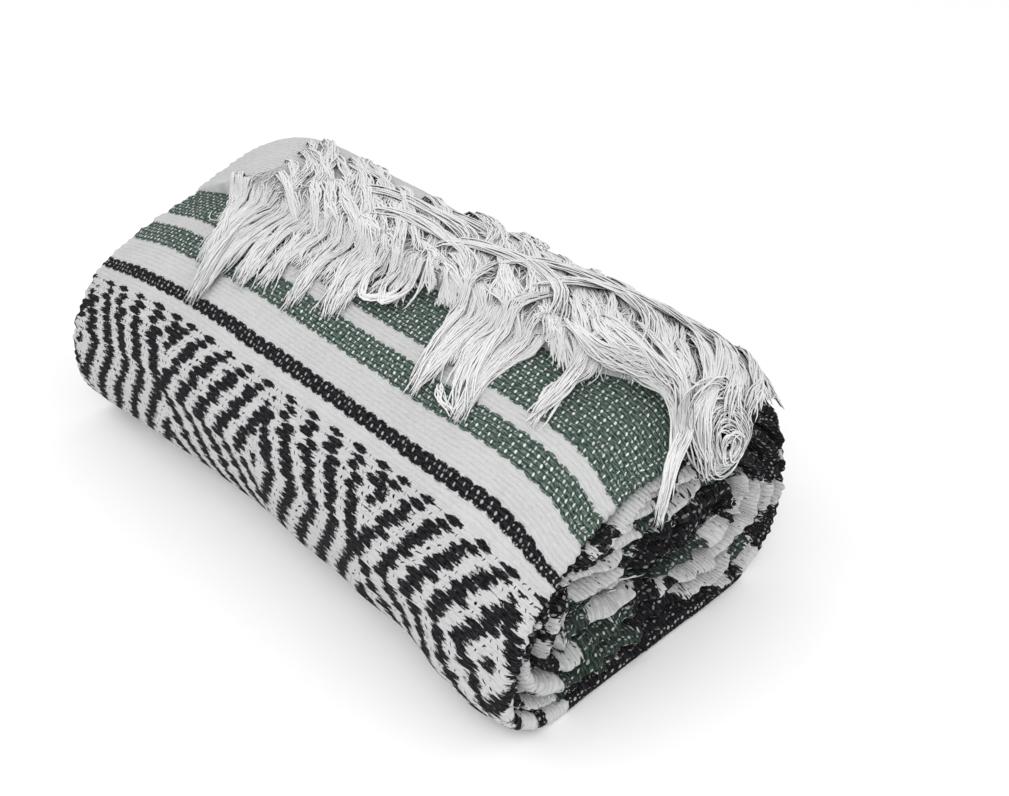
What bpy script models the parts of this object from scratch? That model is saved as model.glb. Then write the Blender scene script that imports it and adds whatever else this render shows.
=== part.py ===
"""A rolled cotton serape blanket lying on its side, with its fringed hem over the top of the roll.

The blanket is folded in thirds across its width and rolled up along its length. The outermost
turn is a cloth wall with its two long edges turned in, the hidden layers share one rounded core
whose ends show the rolled edges, and the fringe hangs from short strips along the hem.

Frame: metres, X along the roll, Y across it with -Y the front, +Z up, the floor at z = 0.
Places on the roll are given as x, s and rise: s is the distance round the outline from the middle
of the top, over the front, along the floor and up the back, and rise is the height above it.
"""

import bmesh
import bpy
import numpy as np

# Driving dimensions
ROLL_LENGTH = 0.430  # a third of the blanket's width
CLOTH = 0.0035
GAP = 0.0004
LIP_RADIUS = 0.010  # the turned-in long edges at both ends of the roll
LIP_TURN = 110.0  # degrees through which each edge turns in
HEM_STEP = 0.0125  # three layers of cloth end at the hem
FLOOR_SINK = 0.005  # how far the round outline settles into its flat underside
TOP_POWER = 2.5  # outline powers: 2 is an ellipse, more is boxier
FLOOR_POWER = 3.2
BACK_LIFT = 0.185  # the back stands higher than the front by this share
NORMAL_BLUR = 0.012  # length of outline over which its direction is averaged
X_SHIFT = -0.0037  # centres the whole object, end tuft included, on the origin
Y_SHIFT = -0.0007

# The hem's line on the roll
HEM_MIDDLE = -0.020
HEM_SLANT = -0.060
HEM_WAVE = 0.0035

# The spiral: the outer turn climbs onto the hidden layers between these shares of the way round
CLIMB_FROM = 0.70
CLIMB_TO = 0.90

# The coil of rolled edges at each end of the core: one turn in is as thick as the hem's step
CORE_SHOULDER = 0.002  # how far the shoulder stands back from where the lips start
COIL_INSET = 0.0200  # clear of the turned-in edges
COIL_NOSE = 0.003  # how far the seams between turns stand out from where the lips start
COIL_RELIEF = (0.0, 0.0058, 0.0075, 0.0058)  # heights across one turn, from its seam
COIL_HALF_SLOT = 0.005  # what is left of the half height at the middle of the coil
COIL_SEAM_BACK = 0.006

# The fringe
STRIP_HEIGHT = 0.0095
STRIP_DEPTH = 0.0050
STRIP_FOOT = 0.0012
# A strip's cross-section: shares of its depth from the hem outward, and of its height
STRIP_PROFILE = ((0.0, 0.0), (0.0, 1.0), (0.3, 1.12), (0.7, 1.0), (1.0, 0.7), (1.0, 0.2), (0.75, 0.0))
ROOT_DEPTH_SHARE = 0.60  # where in the strip's cross-section the locks are rooted
ROOT_HEIGHT_SHARE = 0.55
STRIP_STEPS = 6
LOCK_ROOT_RADIUS = 0.0014
LOCK_TIP_RADIUS = 0.0007
LOCK_STEPS = 5
LOCK_SIDES = 3
LOCK_REST = 0.0032  # rise of a lock's middle where it lies on the cloth
LOCK_SETTLE = 0.30  # share of a lock's length in which it comes down from the hem
LOCK_LIFT = 0.0040  # every second lock arches this much higher
REACH_STAGGER = 0.12  # locks side by side end this share of the reach apart
FRONT_SLOPE = (0.2, -0.75, 0.65)  # the side of a lock that faces out, over the front and the top

# Mesh density
DENSE = 720
MERGE = 2e-5
ROUND_STEPS = 48
LENGTH_STEPS = 14
LIP_STEPS = 3

# Sections across the roll: x, sideways place of the middle, half width, height, forward lean
SECTION_COLUMNS = ("x", "middle", "half_width", "height", "lean")
SECTIONS = (
    (-0.215, 0.001, 0.104, 0.137, 0.000),
    (-0.130, 0.002, 0.104, 0.1455, -0.003),
    (0.000, 0.0005, 0.1045, 0.140, -0.008),
    (0.120, -0.002, 0.111, 0.133, -0.013),
    (0.190, -0.003, 0.117, 0.121, -0.018),
    (0.215, -0.001, 0.115, 0.112, -0.023),
)

# Large soft folds in the outer turn: where they are, their half lengths, their turn and depth
FOLD_COLUMNS = ("x", "s", "half_x", "half_s", "turn", "depth")
FOLDS = (
    (0.165, 0.135, 0.060, 0.014, -35.0, 0.0035),
    (0.188, 0.060, 0.030, 0.016, 40.0, 0.0022),
    (-0.175, 0.120, 0.045, 0.016, 25.0, 0.0030),
    (-0.060, 0.150, 0.090, 0.014, 6.0, 0.0022),
    (0.060, 0.045, 0.080, 0.018, -8.0, 0.0012),
    (-0.150, 0.450, 0.060, 0.016, 30.0, 0.0032),
    (0.030, 0.430, 0.080, 0.014, -12.0, 0.0026),
    (0.150, 0.470, 0.050, 0.018, 28.0, 0.0030),
)

# Fringe: each strip of hem, and the tufts of locks that hang from it
STRIP_COLUMNS = ("name", "x_from", "x_to")
STRIPS = (
    ("fringe_far", -0.196, -0.112),
    ("fringe_far_middle", -0.111, -0.031),
    ("fringe_middle", -0.030, 0.054),
    ("fringe_near_middle", 0.055, 0.136),
    ("fringe_near", 0.137, 0.198),
)
TUFT_COLUMNS = ("root_from", "root_to", "tip_x", "tip_width", "reach", "bow")
TUFTS = (
    (-0.192, -0.156, -0.160, 0.026, 0.030, 0.002),
    (-0.152, -0.116, -0.127, 0.026, 0.056, -0.003),
    (-0.108, -0.074, -0.092, 0.026, 0.078, 0.003),
    (-0.071, -0.034, -0.058, 0.028, 0.088, -0.002),
    (-0.027, 0.010, -0.014, 0.030, 0.062, 0.004),
    (0.013, 0.051, 0.024, 0.032, 0.050, -0.003),
    (0.058, 0.095, 0.076, 0.027, 0.060, -0.002),
    (0.099, 0.133, 0.112, 0.026, 0.057, 0.003),
    (0.140, 0.165, 0.148, 0.020, 0.034, 0.002),
    (0.168, 0.195, 0.186, 0.018, 0.020, -0.002),
)
LOCK_SPACING = 0.0036

# The tuft that falls over the near end from a knot on the hem's corner: each lock's sideways place
# as it leaves the knot, passes the edge and ends, the height of its tip, and how far out it hangs
KNOT = {"x_from": 0.199, "x_to": 0.2055, "foot": 0.0022}
END_LOCK_COLUMNS = ("side", "edge_side", "tip_side", "tip_z", "out")
END_LOCKS = (
    (-0.0016, -0.007, -0.021, 0.092, 0.0042),
    (-0.0010, -0.004, -0.015, 0.101, 0.0066),
    (-0.0005, -0.001, -0.009, 0.107, 0.0042),
    (0.0000, 0.002, 0.002, 0.086, 0.0066),
    (0.0005, 0.005, 0.011, 0.095, 0.0042),
    (0.0010, 0.008, 0.019, 0.103, 0.0066),
)
EDGE_HOP = 0.0035  # rise of a lock over the turned-in edge
EDGE_BACK = 0.001  # how far behind the end of the roll that rise comes
BROW_DROP = 0.010  # how far below the knot the locks hang straight
END_LOCK_SIDE = (0.0, 1.0, 0.1)
END_LOCK_STEPS = 8

COTTON_WHITE = (0.80, 0.80, 0.79)
YARN_GREEN = (0.060, 0.110, 0.078)
CLOTH_GREY = (0.33, 0.35, 0.34)


def columns(names, rows):
    """A table as a dictionary of arrays, one for each named column."""
    return {name: np.array([row[i] for row in rows]) for i, name in enumerate(names)}


SECTION = columns(SECTION_COLUMNS, SECTIONS)
LIP_START = ROLL_LENGTH / 2 - LIP_RADIUS
STATIONS = np.linspace(-LIP_START, LIP_START, LENGTH_STEPS + 1)
SHARES = np.linspace(0, 1, ROUND_STEPS + 1)


def smooth_row(x, column):
    """A section column at x: a cubic through the rows, flat beyond the last ones."""
    xs, ys = SECTION["x"], SECTION[column]
    x = float(np.clip(x, xs[0], xs[-1]))
    i = int(np.clip(np.searchsorted(xs, x) - 1, 0, len(xs) - 2))
    slopes = np.gradient(ys, xs)
    width = xs[i + 1] - xs[i]
    t = (x - xs[i]) / width
    start = (2 * t**3 - 3 * t**2 + 1) * ys[i] + (t**3 - 2 * t**2 + t) * width * slopes[i]
    end = (3 * t**2 - 2 * t**3) * ys[i + 1] + (t**3 - t**2) * width * slopes[i + 1]
    return start + end


def outline(x):
    """The roll's outline at x, as (y, z) points from the middle of the top, over the front."""
    height = smooth_row(x, "height")
    half_width = smooth_row(x, "half_width")
    angle = np.pi / 2 + np.linspace(0, 2 * np.pi, DENSE, endpoint=False)
    across, up = np.cos(angle), np.sin(angle)
    power = np.where(up > 0, 2 / TOP_POWER, 2 / FLOOR_POWER)
    y = np.sign(across) * np.abs(across) ** power
    z = (height + FLOOR_SINK) / 2 * (1 + np.sign(up) * np.abs(up) ** power) - FLOOR_SINK
    z = np.maximum(z, 0) * (1 + BACK_LIFT * y)
    y = half_width * y + smooth_row(x, "lean") * (z - height / 2)
    return np.stack([y + smooth_row(x, "middle"), z], axis=1)


def section(x):
    """The outline at x with its distances, blurred outward directions and length round."""
    points = outline(x)
    after = np.roll(points, -1, axis=0)
    steps = np.linalg.norm(after - points, axis=1)
    length = steps.sum()
    s = np.concatenate([[0], np.cumsum(steps)[:-1]])
    even = np.linspace(0, length, DENSE, endpoint=False)
    even_points = np.stack([np.interp(even, s, points[:, k], period=length) for k in (0, 1)], 1)
    along = np.roll(even_points, -1, axis=0) - np.roll(even_points, 1, axis=0)
    along /= np.linalg.norm(along, axis=1)[:, None]
    out = np.stack([along[:, 1], -along[:, 0]], axis=1)
    reach = int(round(NORMAL_BLUR / (length / DENSE)))
    out = sum(np.roll(out, k, axis=0) for k in range(-reach, reach + 1))
    out /= np.linalg.norm(out, axis=1)[:, None]
    return {"points": even_points, "out": out, "s": even, "length": length}


SECTION_CACHE = {}


def on_roll(x, s, rise, place_x=None):
    """Points at distances s and heights rise on the outline at x, set at place_x along the roll."""
    key = round(float(x), 6)
    if key not in SECTION_CACHE:
        SECTION_CACHE[key] = section(key)
    cut = SECTION_CACHE[key]
    s = np.atleast_1d(s)
    flat = np.stack([np.interp(s, cut["s"], cut["points"][:, k], period=cut["length"]) for k in (0, 1)], 1)
    out = np.stack([np.interp(s, cut["s"], cut["out"][:, k], period=cut["length"]) for k in (0, 1)], 1)
    out /= np.linalg.norm(out, axis=1)[:, None]
    flat = flat + out * np.broadcast_to(rise, s.shape)[:, None]
    along = np.full(len(s), x if place_x is None else place_x)
    return np.column_stack([along + X_SHIFT, flat[:, 0] + Y_SHIFT, flat[:, 1]])


def length_round(x):
    """Length of the outline at x."""
    on_roll(x, 0.0, 0.0)
    return SECTION_CACHE[round(float(x), 6)]["length"]


def hem_s(x):
    """Where the hem lies at x, as a distance from the middle of the top."""
    return HEM_MIDDLE + HEM_SLANT * x + HEM_WAVE * np.sin(x / ROLL_LENGTH * 2 * np.pi)


def climb(share):
    """Rise of the outer turn at a share of its way round from the hem: it ends a step higher."""
    t = np.clip((share - CLIMB_FROM) / (CLIMB_TO - CLIMB_FROM), 0, 1)
    return HEM_STEP * t * t * (3 - 2 * t)


def fold_depth(x, s):
    """Depth of the soft folds at x, s: each is a long Gaussian trough turned on the cloth."""
    depth = np.zeros(np.shape(s))
    for row in FOLDS:
        fold = dict(zip(FOLD_COLUMNS, row))
        turn = np.radians(fold["turn"])
        along = (x - fold["x"]) * np.cos(turn) + (s - fold["s"]) * np.sin(turn)
        across = (s - fold["s"]) * np.cos(turn) - (x - fold["x"]) * np.sin(turn)
        depth += fold["depth"] * np.exp(-((along / fold["half_x"]) ** 2) - (across / fold["half_s"]) ** 2)
    return depth


def lip_profile(depth):
    """The outer turn along the roll, depth below its face: (x for its outline, x, inset) rows."""
    straight = [(x, x, depth) for x in STATIONS]
    radius = LIP_RADIUS - depth
    lip = []
    for angle in np.radians(np.linspace(0, LIP_TURN, LIP_STEPS + 1))[1:]:
        lip.append((LIP_START, LIP_START + radius * np.sin(angle), LIP_RADIUS - radius * np.cos(angle)))
    far_lip = [(-at, -x, inset) for at, x, inset in reversed(lip)]
    return far_lip + straight + lip


def make_object(name, mesh_data, colour, roughness=0.95):
    """A named object in the serape collection with its own plain material."""
    mesh = bpy.data.meshes.new(name)
    mesh_data.to_mesh(mesh)
    mesh_data.free()
    mesh.shade_smooth()
    mesh.set_sharp_from_angle(angle=np.radians(50))
    material = bpy.data.materials.new(name)
    material.use_nodes = True
    surface = material.node_tree.nodes["Principled BSDF"]
    surface.inputs["Base Color"].default_value = (*colour, 1)
    surface.inputs["Roughness"].default_value = roughness
    surface.inputs["Metallic"].default_value = 0.0
    mesh.materials.append(material)
    obj = bpy.data.objects.new(name, mesh)
    COLLECTION.objects.link(obj)
    return obj


def grid_faces(rows, count, closed=False):
    """Triangles of a grid of rows by count points, closed round or open, all cut the same way."""
    faces = []
    for r in range(rows - 1):
        for c in range(count if closed else count - 1):
            d = (c + 1) % count
            low, high = r * count, (r + 1) * count
            faces.append((low + c, high + c, high + d))
            faces.append((low + c, high + d, low + d))
    return faces


def solid(points, faces, merge=0.0):
    """A bmesh of the points and faces, with doubles merged if asked and faces turned outward."""
    shape = bmesh.new()
    corners = [shape.verts.new(p) for p in points]
    for face in faces:
        shape.faces.new([corners[i] for i in face])
    if merge:
        bmesh.ops.remove_doubles(shape, verts=shape.verts, dist=merge)
    bmesh.ops.recalc_face_normals(shape, faces=shape.faces)
    return shape


def make_outer_turn():
    """The cloth of the outermost turn, from the foot of the hem all round to the hem itself."""
    margins = np.zeros(ROUND_STEPS + 1)
    margins[0], margins[-1] = 2 * GAP, -2 * GAP
    grids = []
    for depth in (0.0, CLOTH):
        for section_x, x, inset in lip_profile(depth):
            s = hem_s(section_x) + SHARES * length_round(section_x) + margins
            rise = climb(SHARES) - inset - fold_depth(x, s)
            grids.append(on_roll(section_x, s, rise, x))
    rows, count = len(grids) // 2, ROUND_STEPS + 1
    faces = grid_faces(rows, count)
    inner = rows * count
    faces += [tuple(inner + i for i in reversed(face)) for face in grid_faces(rows, count)]
    for c in range(count - 1):
        last = (rows - 1) * count
        faces.append((c, c + 1, inner + c + 1, inner + c))
        faces.append((last + c + 1, last + c, inner + last + c, inner + last + c + 1))
    for r in range(rows - 1):
        low, high = r * count, (r + 1) * count
        faces.append((high, low, inner + low, inner + high))
        low, high = low + count - 1, high + count - 1
        faces.append((low, high, inner + high, inner + low))
    return make_object("outer_turn", solid(np.concatenate(grids), faces), CLOTH_GREY)


def closing_rises(start, end):
    """Rises on the step at the hem, from the turn that ends there down to the one that starts."""
    count = len(COIL_RELIEF)
    return end + (start - end) * np.arange(1, count) / count


def core_ring(x):
    """The core's outline at x under the outer turn, closed by the points of the step at the hem."""
    s = hem_s(x) + SHARES * length_round(x)
    rise = climb(SHARES) - CLOTH - GAP - fold_depth(x, s)
    step = closing_rises(rise[0], rise[-1])
    s = np.concatenate([s, hem_s(x) + np.zeros(len(step))])
    return on_roll(x, s, np.concatenate([rise, step]))


def coil_point_grid(end):
    """The coil at one end: rows a quarter turn apart, each going once round and one turn in."""
    section_x = end * LIP_START
    half = np.array([smooth_row(section_x, "half_width"), smooth_row(section_x, "height") / 2])
    middle = np.array([smooth_row(section_x, "middle") + Y_SHIFT, half[1]])
    s = hem_s(section_x) - COIL_SEAM_BACK + SHARES * length_round(section_x)
    rim = on_roll(section_x, s, 0.0)[:, 1:]
    quarter = HEM_STEP / len(COIL_RELIEF)
    rows = []
    for i in range(int((half[1] - COIL_HALF_SLOT - COIL_INSET) / quarter) + 1):
        depth = COIL_INSET + i * quarter - climb(SHARES)
        flat = middle + (rim - middle) * (1 - depth[:, None] / half)
        x = LIP_START + COIL_NOSE + COIL_RELIEF[i % len(COIL_RELIEF)]
        rows.append(np.column_stack([np.full(len(flat), end * x + X_SHIFT), flat]))
    return np.array(rows)


def make_core():
    """The hidden layers as one rounded solid: it steps down at the hem, and its ends are coiled."""
    body_end = LIP_START - CORE_SHOULDER
    turn_rows = len(COIL_RELIEF)
    rings = [core_ring(x) for x in np.clip(STATIONS, -body_end, body_end)]
    coils = {end: coil_point_grid(end) for end in (-1, 1)}
    for end, coil in coils.items():
        nose = np.concatenate([coil[0], coil[1:turn_rows, -1]])
        shoulder = nose.copy()
        shoulder[:, 0] = end * body_end + X_SHIFT
        rings = rings + [shoulder, nose] if end > 0 else [nose, shoulder] + rings
    points = [np.concatenate(rings)]
    faces = grid_faces(len(rings), len(rings[0]), closed=True)
    for coil in coils.values():
        start = sum(len(block) for block in points)
        rows, count = coil.shape[:2]
        points.append(coil.reshape(-1, 3))
        faces += [tuple(start + i for i in face) for face in grid_faces(rows, count)]
        slot = [start + (rows - 1) * count + c for c in range(count)]
        slot += [start + (rows - turn_rows + k) * count for k in range(turn_rows - 1)]
        faces.append(tuple(slot))
    return make_object("rolled_core", solid(np.concatenate(points), faces, MERGE), YARN_GREEN)


def tube(path, radii, sides, reference):
    """A closed tube along the path: its first side faces the reference direction."""
    path = np.asarray(path)
    along = np.gradient(path, axis=0)
    along /= np.linalg.norm(along, axis=1)[:, None]
    across = np.cross(along, reference)
    across /= np.linalg.norm(across, axis=1)[:, None]
    up = np.cross(across, along)
    angle = np.linspace(0, 2 * np.pi, sides, endpoint=False) + np.pi / 2
    rings = [
        p + r * (np.outer(np.cos(angle), a) + np.outer(np.sin(angle), u))
        for p, r, a, u in zip(path, radii, across, up)
    ]
    faces = grid_faces(len(rings), sides, closed=True)
    last = (len(rings) - 1) * sides
    faces.append(tuple(reversed(range(sides))))
    faces.append(tuple(last + c for c in range(sides)))
    return solid(np.concatenate(rings), faces)


def strip_block(x_from, x_to, foot=STRIP_FOOT, steps=STRIP_STEPS):
    """The knotted heading between two places along the hem, a bar just in front of the hem's edge."""
    out, up = np.array(STRIP_PROFILE).T
    from_hem = 2 * GAP + STRIP_DEPTH * out
    rise = foot + STRIP_HEIGHT * up
    rings = [on_roll(x, hem_s(x) + from_hem, rise) for x in np.linspace(x_from, x_to, steps + 1)]
    corners = len(STRIP_PROFILE)
    faces = grid_faces(len(rings), corners, closed=True)
    last = (len(rings) - 1) * corners
    faces.append(tuple(reversed(range(corners))))
    faces.append(tuple(last + c for c in range(corners)))
    return solid(np.concatenate(rings), faces)


def root_place(x, foot):
    """Where a lock is rooted inside the strip at x: its distance on the roll and its rise."""
    return hem_s(x) + 2 * GAP + ROOT_DEPTH_SHARE * STRIP_DEPTH, foot + ROOT_HEIGHT_SHARE * STRIP_HEIGHT


def lock_path(root_x, tip_x, reach, bow, lifted):
    """A lock's middle line: from inside the strip down onto the cloth and along it to its reach."""
    t = np.linspace(0, 1, LOCK_STEPS + 1)
    ease = t * t * (3 - 2 * t)
    x = root_x + (tip_x - root_x) * ease + bow * np.sin(np.pi * t)
    root_s, root_rise = root_place(root_x, STRIP_FOOT)
    s = root_s + (reach - root_s) * t
    fall = np.clip(t / LOCK_SETTLE, 0, 1)
    rise = root_rise + (LOCK_REST - root_rise) * fall * fall * (3 - 2 * fall)
    rise += lifted * np.sin(np.pi * t)
    return np.concatenate([on_roll(xi, si, ri) for xi, si, ri in zip(x, s, rise)])


def lock_radii():
    """A lock's radius from its root to its tip."""
    return np.linspace(LOCK_ROOT_RADIUS, LOCK_TIP_RADIUS, LOCK_STEPS + 1)


def join_to_strip(name, strip, locks):
    """One solid: the strip with its locks' roots fused into it, and its helpers removed."""
    piece = make_object(name, strip, COTTON_WHITE)
    for i, lock in enumerate(locks):
        cutter = make_object(f"{name}_lock_{i}", lock, COTTON_WHITE)
        COLLECTION.objects.unlink(cutter)
        CUTTERS.objects.link(cutter)
        cutter.hide_render = True
        cutter.display_type = "WIRE"
    union = piece.modifiers.new("locks", "BOOLEAN")
    union.operation = "UNION"
    union.solver = "EXACT"
    union.operand_type = "COLLECTION"
    union.collection = CUTTERS
    graph = bpy.context.evaluated_depsgraph_get()
    fused = bpy.data.meshes.new_from_object(piece.evaluated_get(graph))
    piece.modifiers.clear()
    piece.data = fused
    for cutter in list(CUTTERS.objects):
        bpy.data.objects.remove(cutter)
    return piece


def make_fringe():
    """Each strip of the hem with the tufts of locks whose roots lie on it."""
    for name, x_from, x_to in STRIPS:
        locks = []
        for row in TUFTS:
            tuft = dict(zip(TUFT_COLUMNS, row))
            if not x_from < tuft["root_from"] < x_to:
                continue
            count = int((tuft["root_to"] - tuft["root_from"]) / LOCK_SPACING) + 1
            for i in range(count):
                place = i / (count - 1)
                root_x = tuft["root_from"] + place * (tuft["root_to"] - tuft["root_from"])
                tip_x = tuft["tip_x"] + (place - 0.5) * tuft["tip_width"]
                reach = tuft["reach"] * (1 - REACH_STAGGER * (i % 3))
                path = lock_path(root_x, tip_x, reach, tuft["bow"], LOCK_LIFT * (i % 2))
                locks.append(tube(path, lock_radii(), LOCK_SIDES, FRONT_SLOPE))
        join_to_strip(name, strip_block(x_from, x_to), locks)


def smooth_path(knots, steps):
    """Points on a Catmull-Rom curve through the knots, spread evenly over its spans."""
    knots = np.asarray(knots)
    padded = np.concatenate([[2 * knots[0] - knots[1]], knots, [2 * knots[-1] - knots[-2]]])
    places = np.linspace(0, len(knots) - 1, steps + 1)
    spans = np.minimum(places.astype(int), len(knots) - 2)
    t = (places - spans)[:, None]
    a, b, c, d = (padded[spans + k] for k in range(4))
    return 0.5 * (2 * b + (c - a) * t + (2 * a - 5 * b + 4 * c - d) * t**2 + (3 * b - a - 3 * c + d) * t**3)


def make_end_tuft():
    """The tuft that falls over the near end: a knot on the hem's corner and locks down the face."""
    x_from, x_to, foot = KNOT["x_from"], KNOT["x_to"], KNOT["foot"]
    middle_x = (x_from + x_to) / 2
    root = on_roll(middle_x, *root_place(middle_x, foot))[0]
    face_x = ROLL_LENGTH / 2 + X_SHIFT
    locks = []
    for row in END_LOCKS:
        lock = dict(zip(END_LOCK_COLUMNS, row))
        hang_x = face_x + lock["out"]
        edge = (face_x - EDGE_BACK, root[1] + lock["edge_side"] / 2, root[2] + EDGE_HOP)
        brow = (hang_x, root[1] + lock["edge_side"], root[2] - BROW_DROP)
        tip = (hang_x, root[1] + lock["tip_side"], lock["tip_z"])
        start = root + (0, lock["side"], 0)
        path = smooth_path([start, edge, brow, tip], END_LOCK_STEPS)
        radii = np.linspace(LOCK_ROOT_RADIUS, LOCK_TIP_RADIUS, len(path))
        locks.append(tube(path, radii, LOCK_SIDES, END_LOCK_SIDE))
    join_to_strip("fringe_end_tuft", strip_block(x_from, x_to, foot, steps=1), locks)


for old in list(bpy.data.objects):
    bpy.data.objects.remove(old)
COLLECTION = bpy.data.collections.new("rolled_serape")
CUTTERS = bpy.data.collections.new("cutters")
bpy.context.scene.collection.children.link(COLLECTION)
bpy.context.scene.collection.children.link(CUTTERS)

make_core()
make_outer_turn()
make_fringe()
make_end_tuft()
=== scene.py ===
# %% [markdown]
# # A rolled serape blanket
# A serape is one long cotton cloth, woven in stripes, with its warp ends left loose as fringe.
# Here it is folded in thirds, rolled up and laid on its side, with its hem and fringe over the top.
# The lesson loads the plain solids, works out the roll's outline, and sets up camera and light. It
# then weaves the cloth, and makes the outer turn, the coil at each end, and the fringe.

import bpy
import numpy as np
from mathutils import Matrix


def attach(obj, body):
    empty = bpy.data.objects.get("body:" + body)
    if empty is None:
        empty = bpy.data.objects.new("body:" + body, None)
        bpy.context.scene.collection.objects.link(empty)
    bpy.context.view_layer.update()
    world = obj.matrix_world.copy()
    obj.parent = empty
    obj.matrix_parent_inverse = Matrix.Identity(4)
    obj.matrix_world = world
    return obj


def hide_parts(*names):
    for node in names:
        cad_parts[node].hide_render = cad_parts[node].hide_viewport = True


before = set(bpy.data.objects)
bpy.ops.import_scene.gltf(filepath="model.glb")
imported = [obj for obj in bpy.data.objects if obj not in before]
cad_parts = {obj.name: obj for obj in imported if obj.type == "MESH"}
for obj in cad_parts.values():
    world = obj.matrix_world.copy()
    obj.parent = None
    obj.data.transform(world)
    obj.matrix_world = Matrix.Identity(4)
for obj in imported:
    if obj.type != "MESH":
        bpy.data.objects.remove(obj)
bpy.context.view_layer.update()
print("solids:", sorted(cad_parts))

# %% [markdown]
# ## The roll's outline
# Everything lies on one surface, so the outline comes first, with the sizes that the solids have.
# A rolled blanket is neither round nor flat: its weight squares off the underside, and the coil
# inside rounds the top. A few drawn curves could be lofted, but a superellipse does this with one
# power for each half and no points to place. Each section is then spread evenly by its length, so
# that a place s on it is a real distance along the cloth.

# %% Sizes of the roll
ROLL_LENGTH = 0.430
HEM_STEP = 0.0125  # three layers of cloth end at the hem
FLOOR_SINK = 0.005  # how far an outline runs below the floor before it is pressed flat
TOP_POWER, FLOOR_POWER = 2.5, 3.2
BACK_LIFT = 0.185  # share by which the back stands higher and the front lower
NORMAL_BLUR = 0.012  # length over which the outward directions are averaged
X_SHIFT, Y_SHIFT = -0.0037, -0.0007  # these centre the footprint
HEM_MIDDLE, HEM_SLANT, HEM_WAVE = -0.020, -0.060, 0.0035
HEM_BAY = (0.174, 0.026, 0.014)  # place, half width and depth of a bay where the hem is drawn back
CLIMB_FROM, CLIMB_TO = 0.70, 0.90  # shares of the way round between which the turn climbs
DENSE = 720  # points of a section
STATIONS = np.linspace(-ROLL_LENGTH / 2, ROLL_LENGTH / 2, 87)
SECTIONS = np.array([
    # x, middle, half width, height, lean
    (-0.215, 0.001, 0.104, 0.137, 0.000),
    (-0.130, 0.002, 0.104, 0.1455, -0.003),
    (0.000, 0.0005, 0.1045, 0.140, -0.008),
    (0.120, -0.002, 0.111, 0.133, -0.013),
    (0.190, -0.003, 0.117, 0.121, -0.018),
    (0.215, -0.001, 0.115, 0.112, -0.023),
])
print(f"roll: {ROLL_LENGTH * 1000:.0f} mm long, from {len(SECTIONS)} sections")


# %% Smooth steps between rows
def cubic(t, width, values, slopes, i):
    """Between rows i and i + 1, at a share t of the width between them: the cubic that has the
    rows' values and slopes at both ends."""
    start = (2 * t**3 - 3 * t**2 + 1) * values[i] + (t**3 - 2 * t**2 + t) * width * slopes[i]
    end = (3 * t**2 - 2 * t**3) * values[i + 1] + (t**3 - t**2) * width * slopes[i + 1]
    return start + end


def section_value(x, column):
    """A section column at places x: a cubic between rows, with the rows' own mean slopes."""
    xs, ys = SECTIONS[:, 0], SECTIONS[:, column]
    x = np.clip(x, xs[0], xs[-1])
    i = np.clip(np.searchsorted(xs, x) - 1, 0, len(xs) - 2)
    width = (xs[1:] - xs[:-1])[i]
    return cubic((x - xs[i]) / width, width, ys, np.gradient(ys, xs), i)


def unit(vectors):
    """The vectors, each divided by its length."""
    return vectors / np.maximum(np.linalg.norm(vectors, axis=-1, keepdims=True), 1e-9)


# %% Outlines at every station
def outlines(x):
    """Section outlines, from the middle of the top over the front: y and z are powers of the
    cosine and sine of one angle, pressed flat at the floor, lifted at the back and leaned."""
    middle, half_width, height, lean = (section_value(x, k)[:, None] for k in (1, 2, 3, 4))
    angle = np.pi / 2 + np.linspace(0, 2 * np.pi, DENSE, endpoint=False)
    across, up = np.cos(angle), np.sin(angle)
    power = np.where(up > 0, 2 / TOP_POWER, 2 / FLOOR_POWER)
    y = np.sign(across) * np.abs(across) ** power
    z = (height + FLOOR_SINK) / 2 * (1 + np.sign(up) * np.abs(up) ** power) - FLOOR_SINK
    z = np.maximum(z, 0) * (1 + BACK_LIFT * y)
    return np.stack([half_width * y + lean * (z - height / 2) + middle, z], axis=-1)


def even_sections(points):
    """Each outline spread evenly by length, with its outward directions averaged over a blur."""
    steps = np.linalg.norm(np.roll(points, -1, axis=1) - points, axis=2)
    lengths = steps.sum(axis=1)
    even = np.empty_like(points)
    for row, (outline, step) in enumerate(zip(points, steps)):
        along = np.concatenate([[0], np.cumsum(step)[:-1]])
        wanted = np.arange(DENSE) / DENSE * lengths[row]
        for k in (0, 1):
            even[row, :, k] = np.interp(wanted, along, outline[:, k], period=lengths[row])
    tangent = unit(np.roll(even, -1, axis=1) - np.roll(even, 1, axis=1))
    out = np.stack([tangent[..., 1], -tangent[..., 0]], axis=-1)
    reach = int(round(NORMAL_BLUR / (lengths.mean() / DENSE)))
    out = sum(np.roll(out, k, axis=1) for k in range(-reach, reach + 1))
    return even, unit(out), lengths


EVEN, OUT, LENGTHS = even_sections(outlines(STATIONS))
print(f"length round the roll: {LENGTHS.min():.3f} to {LENGTHS.max():.3f} m")


# %% Places on the roll
def length_round(x):
    """Length of the outline at x."""
    return np.interp(x, STATIONS, LENGTHS)


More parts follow.
